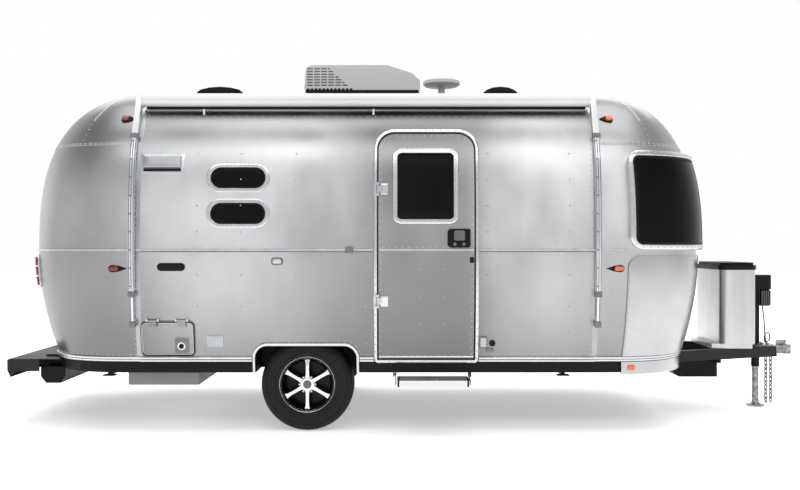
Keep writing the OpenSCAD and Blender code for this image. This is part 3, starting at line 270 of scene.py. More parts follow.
GLASS = glass_material("dark_glass", (0.0012, 0.0014, 0.0015), 0.3)
AMBER = lens_material("amber_lens", (0.88, 0.17, 0.015))
RED = lens_material("red_lens", (0.24, 0.007, 0.005))
WOOD = surface("floor_wood", (0.34, 0.24, 0.15), 0.5, 0.0, 0.2, 5, (0.3, 4, 4))
COVER = surface("cover_aluminium", (0.6, 0.605, 0.61), 0.32, 1.0, 0.12, 2.0, (3, 3, 0.3))
CABLE = surface("cable_rubber", (0.02, 0.02, 0.02), 0.5, 0.0, 0.2, 30)


# ---- mesh helpers
def add(name, mesh, material, body="caravan_body", smooth=35, stands_for=()):
    obj = bpy.data.objects.new(name, mesh)
    bpy.context.scene.collection.objects.link(obj)
    mesh.materials.append(material)
    mesh.shade_smooth()
    mesh.set_sharp_from_angle(angle=math.radians(smooth))
    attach(obj, body)
    if stands_for:
        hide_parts(*stands_for)
    return obj


def mesh_of(name, verts, faces):
    me = bpy.data.meshes.new(name)
    me.from_pydata([tuple(map(float, v)) for v in verts], [], [tuple(map(int, f)) for f in faces])
    me.validate()
    bm = bmesh.new()
    bm.from_mesh(me)
    bmesh.ops.remove_doubles(bm, verts=bm.verts, dist=1e-6)
    bmesh.ops.recalc_face_normals(bm, faces=bm.faces)
    bm.to_mesh(me)
    bm.free()
    return me


def piece(name, shape, material, body="caravan_body", smooth=35, stands_for=()):
    """A piece from one (vertices, faces)."""
    return add(name, mesh_of(name, *shape), material, body, smooth, stands_for)


def shell(outer, inner):
    """A closed sheet between two matching grids of points."""
    nr, nc = outer.shape[:2]
    idx = np.arange(nr * nc).reshape(nr, nc)
    q = np.stack([idx[:-1, :-1], idx[:-1, 1:], idx[1:, 1:], idx[1:, :-1]], -1).reshape(-1, 4)
    n = nr * nc
    faces = [list(f) for f in q] + [list(f[::-1] + n) for f in q]
    rim = list(idx[0, :]) + list(idx[1:, -1]) + list(idx[-1, -2::-1]) + list(idx[-2:0:-1, 0])
    for a, b in zip(rim, rim[1:] + rim[:1]):
        faces.append([b, a, a + n, b + n])
    return np.concatenate([outer.reshape(-1, 3), inner.reshape(-1, 3)]), faces


def sweep(rings, closed=True):
    """Skin over rings of points: an array (rings, points in a section, 3)."""
    r, k = rings.shape[:2]
    faces = []
    for i in range(r if closed else r - 1):
        a, b = i * k, ((i + 1) % r) * k
        faces += [[a + j, b + j, b + (j + 1) % k, a + (j + 1) % k] for j in range(k)]
    if not closed:
        faces.append(list(range(k))[::-1])
        faces.append([(r - 1) * k + j for j in range(k)])
    return rings.reshape(-1, 3), faces


def rrect(x0, z0, x1, z1, r, n=10):
    """A rounded rectangle; r is one radius or four, from the lower left and counter-clockwise."""
    r = (r,) * 4 if np.isscalar(r) else r
    c = ((x0 + r[0], z0 + r[0], 180), (x1 - r[1], z0 + r[1], 270),
         (x1 - r[2], z1 - r[2], 0), (x0 + r[3], z1 - r[3], 90))
    pts = []
    for (cx, cz, a0), rr in zip(c, r):
        for k in range(n + 1):
            a = math.radians(a0 + 90 * k / n)
            pts.append((cx + rr * math.cos(a), cz + rr * math.sin(a)))
    return np.array(pts)


def wider(rect, g):
    """A rectangle (x0, z0, x1, z1) grown by g on every side."""
    return rect[0] - g, rect[1] - g, rect[2] + g, rect[3] + g


def dense(pts, step):
    """The same closed outline with points at most step apart."""
    out = []
    for a, b in zip(pts, np.roll(pts, -1, 0)):
        d = np.linalg.norm(b - a)
        n = max(1, math.ceil(d / step))
        if d > 1e-7:
            out += [a + (b - a) * k / n for k in range(n)]
    return np.array(out)


def grow(pts, d):
    """An outline moved outwards by d."""
    t = np.roll(pts, -1, 0) - np.roll(pts, 1, 0)
    t /= np.linalg.norm(t, axis=1)[:, None] + 1e-12
    return pts + d * np.stack([t[:, 1], -t[:, 0]], -1)


def band(name, place, outline, profile, material, body="caravan_body", stands_for=()):
    """A trim along an outline on a surface. profile: (distance outwards, height off the skin)."""
    rings = np.stack([place(grow(outline, d), h) for d, h in profile], 1)
    return piece(name, sweep(rings), material, body, 40, stands_for)


def plate(name, place, outline, o0, o1, edge, material, body="caravan_body", stands_for=()):
    """A plate with a rounded edge over an outline on a surface."""
    c = outline.mean(0)
    inner = grow(outline, -edge)
    rings = [place(outline, o0), place(outline, o1 - edge),
             place(grow(outline, -edge * 0.35), o1 - edge * 0.3), place(inner, o1)]
    rings += [place(c + (inner - c) * k, o1) for k in (0.66, 0.33)]
    n = len(outline)
    v = np.concatenate(rings + [place(c[None], o1), place(c[None], o0)])
    ring = [(j, (j + 1) % n) for j in range(n)]
    f = [[i * n + j, i * n + l, (i + 1) * n + l, (i + 1) * n + j]
         for i in range(len(rings) - 1) for j, l in ring]
    top, last = len(rings) * n, (len(rings) - 1) * n
    for j, l in ring:
        f += [[last + j, last + l, top], [l, j, top + 1]]
    return piece(name, (v, f), material, body, 40, stands_for)


def on_side(side):
    return lambda p, o: side_pt(side, p[:, 0], p[:, 1], o)


def prism(outline, y0, y1):
    """A solid across the caravan from an outline in (x, z)."""
    n = len(outline)
    v = [(p[0], y, p[1]) for y in (y0, y1) for p in outline]
    f = [list(range(n)), list(range(2 * n - 1, n - 1, -1))]
    return np.array(v), f + [[j, (j + 1) % n, (j + 1) % n + n, j + n] for j in range(n)]


def carve(mesh, cuts):
    """The mesh after each (operation, cutter shape)."""
    link = bpy.context.scene.collection.objects.link
    work = bpy.data.objects.new("work", mesh)
    link(work)
    cutters = []
    for op, shape in cuts:
        cutters.append(bpy.data.objects.new("cutter", mesh_of("cutter", *shape)))
        link(cutters[-1])
        m = work.modifiers.new(op, "BOOLEAN")
        m.operation, m.object, m.solver = op, cutters[-1], "EXACT"
    bpy.context.view_layer.update()
    out = bpy.data.meshes.new_from_object(work.evaluated_get(bpy.context.evaluated_depsgraph_get()))
    for o in [work, *cutters]:
        bpy.data.objects.remove(o)
    return out


def turns(n):
    return np.linspace(0, 2 * math.pi, n, endpoint=False)


def lathe(profile, n=96):
    """Closed profile of (radius, height) turned round Z."""
    p = np.array(profile, float)
    return sweep(np.stack([np.stack([p[:, 0] * math.cos(t), p[:, 0] * math.sin(t), p[:, 1]], -1)
                           for t in turns(n)]))


def tube(path, r, n=10, closed=False):
    path = np.array(path, float)
    t = np.roll(path, -1, 0) - np.roll(path, 1, 0) if closed else np.gradient(path, axis=0)
    t /= np.linalg.norm(t, axis=1)[:, None]
    u = np.cross(t, np.array([0.31, 0.92, 0.24]))   # a direction that no path here runs along
    u /= np.linalg.norm(u, axis=1)[:, None]
    w, a = np.cross(t, u), turns(n)[None, :, None]
    return sweep(path[:, None] + r * (np.cos(a) * u[:, None] + np.sin(a) * w[:, None]), closed)


def gather(parts):
    """One shape from several (vertices, faces)."""
    v, f, k = [], [], 0
    for pv, pf in parts:
        v.append(np.asarray(pv))
        f += [[i + k for i in q] for q in pf]
        k += len(pv)
    return np.concatenate(v), f


def bevelled_box(lo, hi, r):
    bm = bmesh.new()
    bmesh.ops.create_cube(bm, size=1)
    for v in bm.verts:
        v.co = Vector([lo[i] if v.co[i] < 0 else hi[i] for i in range(3)])
    bmesh.ops.bevel(bm, geom=bm.edges[:], offset=r, segments=3, affect="EDGES", profile=0.5)
    out = np.array([tuple(v.co) for v in bm.verts]), [[v.index for v in f.verts] for f in bm.faces]
    bm.free()
    return out


# ---- camera, floor and light
cam_data = bpy.data.cameras.new("camera")
cam_data.sensor_width = 36
cam_data.lens = 40.185
cam = bpy.data.objects.new("camera", cam_data)
cam.location = (-0.178, -7.67, 1.375)
cam.rotation_euler = (math.pi / 2, 0, 0)
bpy.context.scene.collection.objects.link(cam)
bpy.context.scene.camera = cam

FLOOR_X, FLOOR_Y, FLOOR_DEEP = (-30, 30), (-20, 40), 0.05
floor_mat = surface("studio_floor", (0.93, 0.93, 0.93), 0.8, 0.0, 0.01, 0.6, gloss=0.1)
floor_bsdf = floor_mat.node_tree.nodes["Principled BSDF"]
floor_bsdf.inputs["Emission Color"].default_value = (1, 1, 1, 1)
floor_bsdf.inputs["Emission Strength"].default_value = 0.42
floor_shape = shell(*[np.array([[[x, y, z] for x in FLOOR_X] for y in FLOOR_Y], float)
                      for z in (0, -FLOOR_DEEP)])
floor = bpy.data.objects.new("studio_floor", mesh_of("studio_floor", *floor_shape))
floor.data.materials.append(floor_mat)
bpy.context.scene.collection.objects.link(floor)

# white behind the caravan, a greyer room with soft bands in front of it
world = bpy.data.worlds.new("studio")
world.use_nodes = True
wt = world.node_tree
ws = node(wt, "SeparateXYZ")
wt.links.new(node(wt, "TexCoord").outputs["Generated"], ws.inputs[0])
room = colors(wt, ramp(wt, ws.outputs["Z"], 0, 1, -1, 1), [
    (place, (level, level, level * 1.02)) for place, level in
    ((0.0, 0.75), (0.4, 0.7), (0.5, 0.62), (0.6, 0.82), (0.72, 0.5), (1.0, 0.42))])
bg = wt.nodes["Background"]
behind = ramp(wt, ws.outputs["Y"], 0, 1, -0.05, 0.45)
wt.links.new(mixed(wt, "B", behind, room), bg.inputs["Color"])
bg.inputs["Strength"].default_value = 1.0
bpy.context.scene.world = world
bpy.context.scene.view_settings.view_transform = "Standard"

for name, place, aim, size, power in (("overhead", (0, -1, 8.0), (0, 0, 0), (10, 6), 420),
                                      ("back", (0, 9, 8.0), (0, 9, 0), (16, 8), 700),
                                      ("front", (0, -10, 8.5), (0, -6, 0), (14, 4), 380)):
    d = bpy.data.lights.new(name, "AREA")
    d.shape, d.energy = "RECTANGLE", power
    d.size, d.size_y = size
    lamp = bpy.data.objects.new(name, d)
    lamp.location = place
    lamp.rotation_euler = (Vector(aim) - Vector(place)).to_track_quat("-Z", "Y").to_euler()
    bpy.context.scene.collection.objects.link(lamp)

# ---- skins
def rows_between(z0, z1, n_low=34, n_high=44):
    """Heights for a skin, closer together towards the crown."""
    low = np.linspace(z0, min(z1, BELT), n_low)
    if z1 <= BELT:
        return low
    t1 = math.degrees(math.asin(min(1, ((z1 - BELT) / RISE) ** (SEC_N / 2))))
    t = np.linspace(0, t1, n_high)[1:]
    return np.concatenate([low, BELT + RISE * np.sin(np.radians(t)) ** (2 / SEC_N)])


def side_sheet(name, side, x0, x1, z0, z1, deep, nx, cuts, body="caravan_body", stands_for=()):
    zz, xx = np.meshgrid(rows_between(z0, z1), np.linspace(x0, x1, nx), indexing="ij")
    me = mesh_of(name, *shell(side_pt(side, xx, zz, 0.0), side_pt(side, xx, zz, -deep)))
    return add(name, carve(me, cuts), SKIN, body, 30, stands_for)


def wall_cut(side, outline):
    y = (HALF_W * 0.6, HALF_W + 0.3)
    return prism(outline, *(y if side > 0 else (-y[1], -y[0])))


leaf_lo, leaf_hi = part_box("door_leaf")
DOOR = (leaf_lo.x, leaf_lo.z, leaf_hi.x, leaf_hi.z)
DOOR_R, PANE_R = 0.12, 0.03
PANE = (DOOR[0] + 0.139, DOOR[1] + 1.014, DOOR[0] + 0.544, DOOR[1] + 1.497)
D0, D1 = DOOR[0] - 0.038, DOOR[2] + 0.038           # where the rails stop beside the door
bag_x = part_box("bag_door")[0].x
BAG = (bag_x, 0.573, bag_x + 0.372, 0.811)
ARCH_W = 0.023                                      # width of the arch trim
arch_lo, arch_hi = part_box("arch_trims")
ARCH, ARCH_TOP = (arch_lo.x + ARCH_W, arch_hi.x - ARCH_W), arch_hi.z - ARCH_W
ARCH_R, ARCH_FOOT = 0.09, 0.444
glass_lo, glass_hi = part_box("side_window_glass")
frame_lo, frame_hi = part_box("side_window_frames")
WIN_X, WIN_W, WIN_H = (glass_lo.x + glass_hi.x) / 2, 0.393, 0.149
WIN_Z = (frame_hi.z - 0.034 - WIN_H, frame_lo.z + 0.034)


def round_topped(x0, z0, x1, z1, r):
    return rrect(x0, z0, x1, z1, (0.004, 0.004, r, r), 12)


def door_line(g):
    """The entry door's outline grown by g: square below, round above."""
    return round_topped(*wider(DOOR, g), DOOR_R + g)


def arch_line(low):
    return round_topped(ARCH[0], low, ARCH[1], ARCH_TOP, ARCH_R)


def capsule(z0, g):
    """A side window's outline grown by g."""
    x0 = WIN_X - WIN_W / 2
    return rrect(x0 - g, z0 - g, WIN_X + WIN_W / 2 + g, z0 + WIN_H + g, WIN_H / 2 + g - 0.001, 14)


for side, tag in SIDES:
    node_name = "side_wall_" + tag
    cuts = [arch_line(0.3)] + [capsule(z, 0.002) for z in WIN_Z]
    if side < 0:
        cuts += [door_line(GAP), rrect(*wider(BAG, GAP), 0.038)]
    side_sheet(node_name + "_skin", side, *SEAM, SHELL_Z, SPLIT, WALL, 60,
               [("DIFFERENCE", wall_cut(side, line)) for line in cuts], stands_for=(node_name,))

# roof between the seams, as an arc of (y, z) over the caravan
t0 = math.degrees(math.asin(((SPLIT - BELT) / RISE) ** (SEC_N / 2)))
t = np.linspace(t0, 90, 26)
arc = np.stack([HALF_W * np.cos(np.radians(t)) ** (2 / SEC_N),
                BELT + RISE * np.sin(np.radians(t)) ** (2 / SEC_N)], 1)
ROOF = np.concatenate([arc, arc[::-1][1:] * [-1, 1]])


def roof_grid(drop):
    xs, k = np.linspace(*SEAM, 40), 1 - drop / HALF_W
    return np.stack([np.stack([xs, np.full_like(xs, y * k), np.full_like(xs, z - drop)], -1)
                     for y, z in ROOF])


piece("roof_skin", shell(roof_grid(0), roof_grid(WALL)), SKIN, stands_for=("roof_panel",))

# the end windows: low edge, high edge, plan angle of the first edge
END_LOW, END_HIGH = 1.375, 2.0
FRONT_WIN, REAR_WIN = 9.7, 73


def cap_skin(key, a0):
    """An end cap as a smooth sheet with a hole over the cells of its window."""
    end, lo, hi, tiny = CAPS[key], END_LOW, END_HIGH, 1e-6
    z = np.concatenate([rows_between(SHELL_Z, CROWN - 0.0005, 30, 60), [lo, hi]])
    a = np.concatenate([np.linspace(0, 180, 145), [a0, 180 - a0]])
    zz, aa = np.meshgrid(np.unique(np.round(z, 6)), np.unique(np.round(a, 6)), indexing="ij")
    nr, nc = zz.shape
    keep = ~((zz[:-1, :-1] > lo - tiny) & (zz[1:, :-1] < hi + tiny)
             & (aa[:-1, :-1] > a0 - tiny) & (aa[:-1, 1:] < 180 - a0 + tiny))
    idx = np.arange(nr * nc).reshape(nr, nc)
    faces, n = [], nr * nc
    for i, j in zip(*np.nonzero(keep)):
        p = [idx[i, j], idx[i, j + 1], idx[i + 1, j + 1], idx[i + 1, j]]
        faces += [p, [q + n for q in p[::-1]]]
        for k, (di, dj) in enumerate(((-1, 0), (0, 1), (1, 0), (0, -1))):
            u, w = i + di, j + dj
            if u < 0 or w < 0 or u >= nr - 1 or w >= nc - 1 or not keep[u, w]:
                b, c = p[k], p[(k + 1) % 4]
                faces.append([c, b, b + n, c + n])
    v = np.concatenate([cap_pt(end, aa, zz, o).reshape(-1, 3) for o in (0.0, -WALL)])
    piece(key + "_cap_skin", (v, faces), END_SKIN, stands_for=(key + "_end_cap",))


cap_skin("front", FRONT_WIN)
cap_skin("rear", REAR_WIN)

side_sheet("door_skin", -1, DOOR[0], DOOR[2], DOOR[1], DOOR[3], SKIN_IN, 24,
           [("INTERSECT", wall_cut(-1, door_line(0.0))),
            ("DIFFERENCE", wall_cut(-1, rrect(*wider(PANE, 0.002), PANE_R)))],
           "entry_door", ("door_leaf",))

# ---- frames, panes and trims on the sides
# profiles of (distance outwards, height off the skin)
ROUND = [(0.0, 0.0), (0.0, 0.007), (0.004, 0.0115), (0.012, 0.012), (0.024, 0.012), (0.031, 0.01),
         (0.034, 0.004), (0.034, 0.0)]
PANE_ROUND = [(0.0, 0.0), (0.0, 0.006), (0.004, 0.0105), (0.012, 0.011), (0.026, 0.011),
              (0.033, 0.009), (0.036, 0.004), (0.036, 0.0)]
RING = [(0.001, 0.0), (0.001, 0.006), (0.004, 0.0125), (0.01, 0.014), (0.019, 0.014),
        (0.024, 0.011), (0.027, 0.004), (0.027, 0.0)]
SEAL = [(0.0, -0.008), (0.0, 0.006), (0.004, 0.009), (0.009, 0.009), (0.009, -0.008)]
ARCH_TRIM = [(0.0, 0.0005), (0.0, 0.01), (0.003, 0.015), (0.01, 0.016), (0.019, 0.014),
             (0.023, 0.008), (0.023, 0.0005)]

for side, tag in SIDES:
    for k, z in enumerate(WIN_Z):
        leads = side < 0 and k == 0
        on, name = on_side(side), "%s_%d" % (tag, k)
        band("window_frame_" + name, on, dense(capsule(z, 0.0), 0.02), ROUND, BRIGHT,
             stands_for=("side_window_frames",) if leads else ())
        plate("window_pane_" + name, on, dense(capsule(z, -0.001), 0.02), -0.012, 0.003, 0.002, GLASS,
              stands_for=("side_window_glass",) if leads else ())
        band("window_gasket_" + name, on, dense(capsule(z, -0.009), 0.02), SEAL, GASKET)

D = on_side(-1)
pane_line = dense(rrect(*PANE, PANE_R), 0.03)
band("door_window_frame", D, pane_line, PANE_ROUND, BRIGHT, "entry_door", ("door_trim",))
plate("door_window_pane", D, pane_line, -0.014, 0.002, 0.002, GLASS, "entry_door", ("door_glass",))
band("door_surround_ring", D, dense(door_line(GAP), 0.05), RING, BRIGHT, stands_for=("door_surround",))


def square_to(pts):
    """Directions at right angles to a path, in its plane."""
    t = np.gradient(pts, axis=0)
    t /= np.linalg.norm(t, axis=1)[:, None]
    return np.stack([t[:, 1], -t[:, 0]], -1)


def moulding(place, pts, across, profile):
    """An open strip along pts on a surface, with its profile laid across them."""
    return sweep(np.stack([place(pts + d * across, h) for d, h in profile], 1), closed=False)


def upright(x, z0, z1, n):
    return [(x, z) for z in np.linspace(z0, z1, n)]


def level_line(x0, x1, z, n):
    return [(x, z) for x in np.linspace(x0, x1, n)]


def corner(cx, a0, a1):
    """An upper corner of the wheel arch."""
    return [(cx + ARCH_R * math.cos(a), ARCH_TOP - ARCH_R + ARCH_R * math.sin(a))
            for a in np.radians(np.linspace(a0, a1, 14))]


legs = np.array([(ARCH[1], ARCH_FOOT)] + upright(ARCH[1], 0.46, ARCH_TOP - 0.095, 8)
                + corner(ARCH[1] - ARCH_R, 0, 90) + corner(ARCH[0] + ARCH_R, 90, 180)
                + upright(ARCH[0], ARCH_TOP - 0.095, 0.46, 8) + [(ARCH[0], ARCH_FOOT)])
for side, tag in SIDES:
    piece("arch_trim_" + tag, moulding(on_side(side), legs, square_to(legs), ARCH_TRIM), BRIGHT,
          stands_for=("arch_trims",) if side < 0 else ())


def rail(name, place, pts, half, height, ridges=1, stands_for=(), body="caravan_body"):
    """A moulded strip: pts is (distance along, z of its middle)."""
    prof = [(-half, 0.0005), (-half, height * 0.5), (-half * 0.75, height)]
    for k in range(ridges):
        c = -half * 0.75 + 1.5 * half * (k + 0.5) / ridges
        w = 0.75 * half / ridges
        prof += [(c - w * 0.5, height), (c + w * 0.5, height)]
        if k < ridges - 1:
            prof += [(c + w * 0.9, height * 0.45), (c + w * 1.1, height * 0.45)]
    prof += [(half * 0.75, height), (half, height * 0.5), (half, 0.0005)]
    shape = moulding(place, np.array(pts), np.array([0, 1]), prof)
    return piece(name, shape, BRIGHT, body, 40, stands_for)


def run(x0, x1, z):
    return level_line(x0, x1, z, max(2, int(abs(x1 - x0) / 0.15) + 1))


def spans(side, arch_gap=None):
    """Stretches of a side between the seams, clear of the door and, with arch_gap, of the arch."""
    ends = [SEAM[0], SEAM[1]] if side > 0 else [SEAM[0], D0, D1, SEAM[1]]
    if arch_gap is not None:
        ends[1:1] = [ARCH[0] - arch_gap, ARCH[1] + arch_gap]
    return list(zip(ends[::2], ends[1::2]))


BELT_RAIL, RUB_RAIL = (0.01, 0.007), (0.0195, 0.014, 2)
for side, tag in SIDES:
    for k, (a, b) in enumerate(spans(side)):
        rail("belt_%s_%d" % (tag, k), on_side(side), run(a, b, BELT), *BELT_RAIL,
             stands_for=("body_rails",) if side < 0 and k == 0 else ())
    for k, (a, b) in enumerate(spans(side, 0.025)):
        rail("rub_%s_%d" % (tag, k), on_side(side), run(a, b, RUB_Z), *RUB_RAIL)
rail("door_belt", D, run(DOOR[0] + 0.004, DOOR[2] - 0.004, BELT), *BELT_RAIL, body="entry_door")


def round_end(end):
    return lambda p, o: cap_pt(end, p[:, 0], p[:, 1], o)


for name, end, a0, a1 in (("rear_belt_a", REAR, 0, 63.6), ("rear_belt_b", REAR, 116.4, 180),
                          ("front_belt_a", FRONT, 0, 6.9), ("front_belt_b", FRONT, 173.1, 180)):
    rail(name, round_end(end), level_line(a0, a1, BELT, 40), *BELT_RAIL)
rail("rear_rub", round_end(REAR), level_line(0, 180, RUB_Z, 110), *RUB_RAIL)
rail("front_rub", round_end(FRONT), level_line(0, 180, RUB_Z, 110), 0.0195, 0.0145, 2)

# ---- end caps: windows, guards, seams
ANG = np.linspace(0, 180, 1441)                     # plan angles, and the distance round each cap
LEN = {}
for key, end in CAPS.items():
    step = np.linalg.norm(np.diff(cap_pt(end, ANG, BELT), axis=0), axis=1)
    LEN[key] = np.concatenate([[0], np.cumsum(step)])


def wrap(key, side=1):
    """Places (distance round the cap at the belt, z); side mirrors it to the other side."""
    def place(p, o):
        q = cap_pt(CAPS[key], np.interp(p[:, 0], LEN[key], ANG), p[:, 1], o)
        q[:, 1] *= -side
        return q
    return place


def dist(key, a):
    return float(np.interp(a, ANG, LEN[key]))


def grid_sheet(place, s0, s1, z0, z1, o0, o1, ns=60, nz=16, corner=0.0):
    """A closed curved sheet over s0..s1 and z0..z1; corner rounds its upper corner at s0."""
    z = np.linspace(z0, z1, nz) if corner == 0 else np.concatenate(
        [np.linspace(z0, z1 - corner, nz)[:-1],
         z1 - corner + corner * np.sin(np.radians(np.linspace(0, 90, 12)))])
    inset = corner - np.sqrt(np.maximum(corner ** 2 - (z - z1 + corner) ** 2, 0))
    left = s0 + np.where(z > z1 - corner, inset, 0)
    ss = left[:, None] + (s1 - left[:, None]) * np.linspace(0, 1, ns)[None]
    flat = np.stack([ss.ravel(), np.repeat(z, ns)], 1)
    return shell(*[place(flat, o).reshape(len(z), ns, 3) for o in (o1, o0)])


def both(parts):
    """The same parts and their mirror across the caravan."""
    return parts + [(np.asarray(v) * [1, -1, 1], [q[::-1] for q in f]) for v, f in parts]


def strip_on(place, pts, w, h, taper=None):
    """A flat strip along a path in (distance, z) on a surface."""
    pts = np.array(pts, float)
    k = np.ones(len(pts)) if taper is None else 1 / np.maximum(taper(pts[:, 1]), 0.12)
    return moulding(place, pts, square_to(pts) * k[:, None],
                    [(-w, 0.0002), (-w * 0.86, h), (w * 0.86, h), (w, 0.0002)])


F, R = wrap("front"), wrap("rear")
WIN_R, EDGE_IN = 0.055, 0.038
SHEET_Z = (END_LOW - 0.004, END_HIGH + 0.006)
fr0, fr1 = dist("front", 7.2) + EDGE_IN, dist("front", 172.8) - EDGE_IN
r0, r1 = dist("rear", REAR_WIN), dist("rear", 180 - REAR_WIN)
front_line, rear_line = [dense(rrect(a, END_LOW + 0.002, b, END_HIGH, WIN_R), 0.03)
                         for a, b in ((fr0, fr1), (r0, r1))]
band("front_window_frame", F, front_line,
     [(0.0, -0.004), (0.0, 0.046), (0.004, 0.05), (0.028, 0.05), (0.035, 0.046), (0.038, 0.038),
      (0.038, -0.004)], BRIGHT, stands_for=("end_window_frames",))
band("front_window_gasket", F, front_line,
     [(0.0, 0.036), (0.0, 0.0475), (-0.01, 0.0485), (-0.018, 0.0465), (-0.018, 0.036)], GASKET)
piece("front_window_pane", grid_sheet(F, fr0 - 0.006, fr1 + 0.006, *SHEET_Z, 0.036, 0.043, 140),
      GLASS, stands_for=("end_window_glass",))
posts = [upright(dist("front", a), 1.385, 1.992, 14) for a in (62.5, 117.5)]
piece("front_window_posts", gather([strip_on(F, line, 0.014, 0.0465) for line in posts]), GASKET)
band("rear_window_frame", R, rear_line,
     [(0.0, -0.004), (0.0, 0.01), (0.004, 0.014), (0.028, 0.014), (0.036, 0.01), (0.038, -0.002)],
     BRIGHT)
piece("rear_window_pane", grid_sheet(R, r0 - 0.005, r1 + 0.005, *SHEET_Z, -0.006, 0.003, 40), GLASS)


def low_place(p, o):
    """Places (distance round the front cap, z) straight below the cap's foot."""
    q = F(np.stack([p[:, 0], np.full(len(p), 0.5207)], 1), o)
    q[:, 2] = p[:, 1]
    return q


g0, g1 = dist("front", 7.2), dist("front", 61)      # the stone guard's edges
GUARDS = (
    ("stone_guard", POLISHED, [grid_sheet(F, g0, g1, 0.56, 1.3, 0.0005, 0.0145, 70, 16, 0.1)]),
    ("lower_guard", POLISHED, [grid_sheet(low_place, g0, g1, 0.428, 0.5195, 0.0005, 0.01, 70, 6)]),
    # a black strip along the guard's far edge: painted shade standing for the shade on the curve there
    ("guard_painted_shade_band", GASKET, [strip_on(F, upright(g1 - 0.016, 0.575, 1.285, 20), 0.016, 0.0165)]),
    ("guard_border", SEAMED, [strip_on(F, upright(g0 + 0.006, 0.565, 1.195, 20), 0.004, 0.016),
                              strip_on(F, level_line(g0 + 0.1, g1, 1.292, 40), 0.005, 0.0165)]))
for name, material, parts in GUARDS:
    piece(name, gather(both(parts)), material,
          stands_for=("stone_guards",) if name == "stone_guard" else ())

SEAM_Z = 2.115
GORES = (22, 56, 90, 124, 158)                      # plan angles of the upper seams
STRAP = ((-0.022, 0.0002), (-0.019, 0.0022), (0.019, 0.0022), (0.022, 0.0002))
gore_z = BELT + RISE * np.sin(np.radians(np.linspace(38, 84, 26))) ** (2 / SEC_N)
seams = []
for key, end in CAPS.items():
    place = wrap(key)
    seams.append(strip_on(place, level_line(0.01, LEN[key][-1] - 0.01, SEAM_Z, 120), 0.011, 0.0014))
    seams += [strip_on(place, [(dist(key, a), z) for z in gore_z if z > SEAM_Z], 0.01, 0.0014,
                       lambda z: end_f(z, end[2])) for a in GORES]
    seams += [strip_on(place, upright(dist(key, a), 0.565, 1.325, 16), 0.01, 0.0014)
              for a in ((64, 116) if key == "rear" else ())]
z = rows_between(0.562, SPLIT, 24, 30)
seams += [sweep(np.stack([side_pt(side, x + d, z, o) for d, o in STRAP], 1), closed=False)
          for side, _ in SIDES for x in SEAM]
for x in SEAM:
    rings = [np.stack([np.full(len(ROOF), x + d), ROOF[:, 0] * (1 + o / HALF_W), ROOF[:, 1] + o], -1)
             for d, o in STRAP]
    seams.append(sweep(np.stack(rings, 1), closed=False))
piece("panel_seams", gather(seams), SEAMED, smooth=25)

# ---- rivets
def dome(n=6):
    ring = np.stack([np.cos(turns(n)), np.sin(turns(n)), np.zeros(n)], -1)
    v = np.concatenate([ring, ring * [0.72, 0.72, 0] + [0, 0, 0.42], [[0, 0, 0.58]]])
    pairs = [(j, (j + 1) % n) for j in range(n)]
    return v, ([[j, l, l + n, j + n] for j, l in pairs] + [[j + n, l + n, 2 * n] for j, l in pairs]
               + [list(range(n))[::-1]])


def rivets(name, groups, body="caravan_body", r=0.0056, material=RIVET):
    """groups: (place, points, height off the skin)."""
    dv, df = dome()
    vs, fs = [], []
    for place, pts, o in groups:
        pts = np.array(pts, float)
        base = place(pts, o)
        n = place(pts, o + 0.004) - base
        n /= np.linalg.norm(n, axis=1)[:, None]
        ref = np.tile([0.02, 0.01, 1.0], (len(n), 1))
        ref[np.abs(n[:, 2]) > 0.9] = [1, 0, 0]
        u = np.cross(ref, n)
        u /= np.linalg.norm(u, axis=1)[:, None]
        for b, uu, ww, nn in zip(base, u, np.cross(n, u), n):
            fs += [[q + len(vs) * len(dv) for q in f] for f in df]
            vs.append(b + r * (dv[:, :1] * uu + dv[:, 1:2] * ww + dv[:, 2:] * nn))
    me = bpy.data.meshes.new(name)
    me.from_pydata([tuple(map(float, p)) for p in np.concatenate(vs)], [], fs)
    return add(name, me, material, body, 60)


def every(a, b, step):
    return np.linspace(a, b, max(2, int(round(abs(b - a) / step)) + 1))


def column(x, z0, z1, step):
    return [(x, z) for z in every(z0, z1, step)]


def row(x0, x1, z, step):
    return [(x, z) for x in every(x0, x1, step)]


def outside(pts, rects):
    return [p for p in pts if not any(a < p[0] < c and b < p[1] < d for a, b, c, d in rects)]


def spaced(line, d, step):
    """Points along a closed outline grown by d, step apart."""
    q = grow(dense(line, 0.01), d)
    q = np.vstack([q, q[:1]])
    s = np.concatenate([[0], np.cumsum(np.linalg.norm(np.diff(q, axis=0), axis=1))])
    t = np.arange(0, s[-1] - step / 2, s[-1] / round(s[-1] / step))
    return np.stack([np.interp(t, s, q[:, 0]), np.interp(t, s, q[:, 1])], -1)


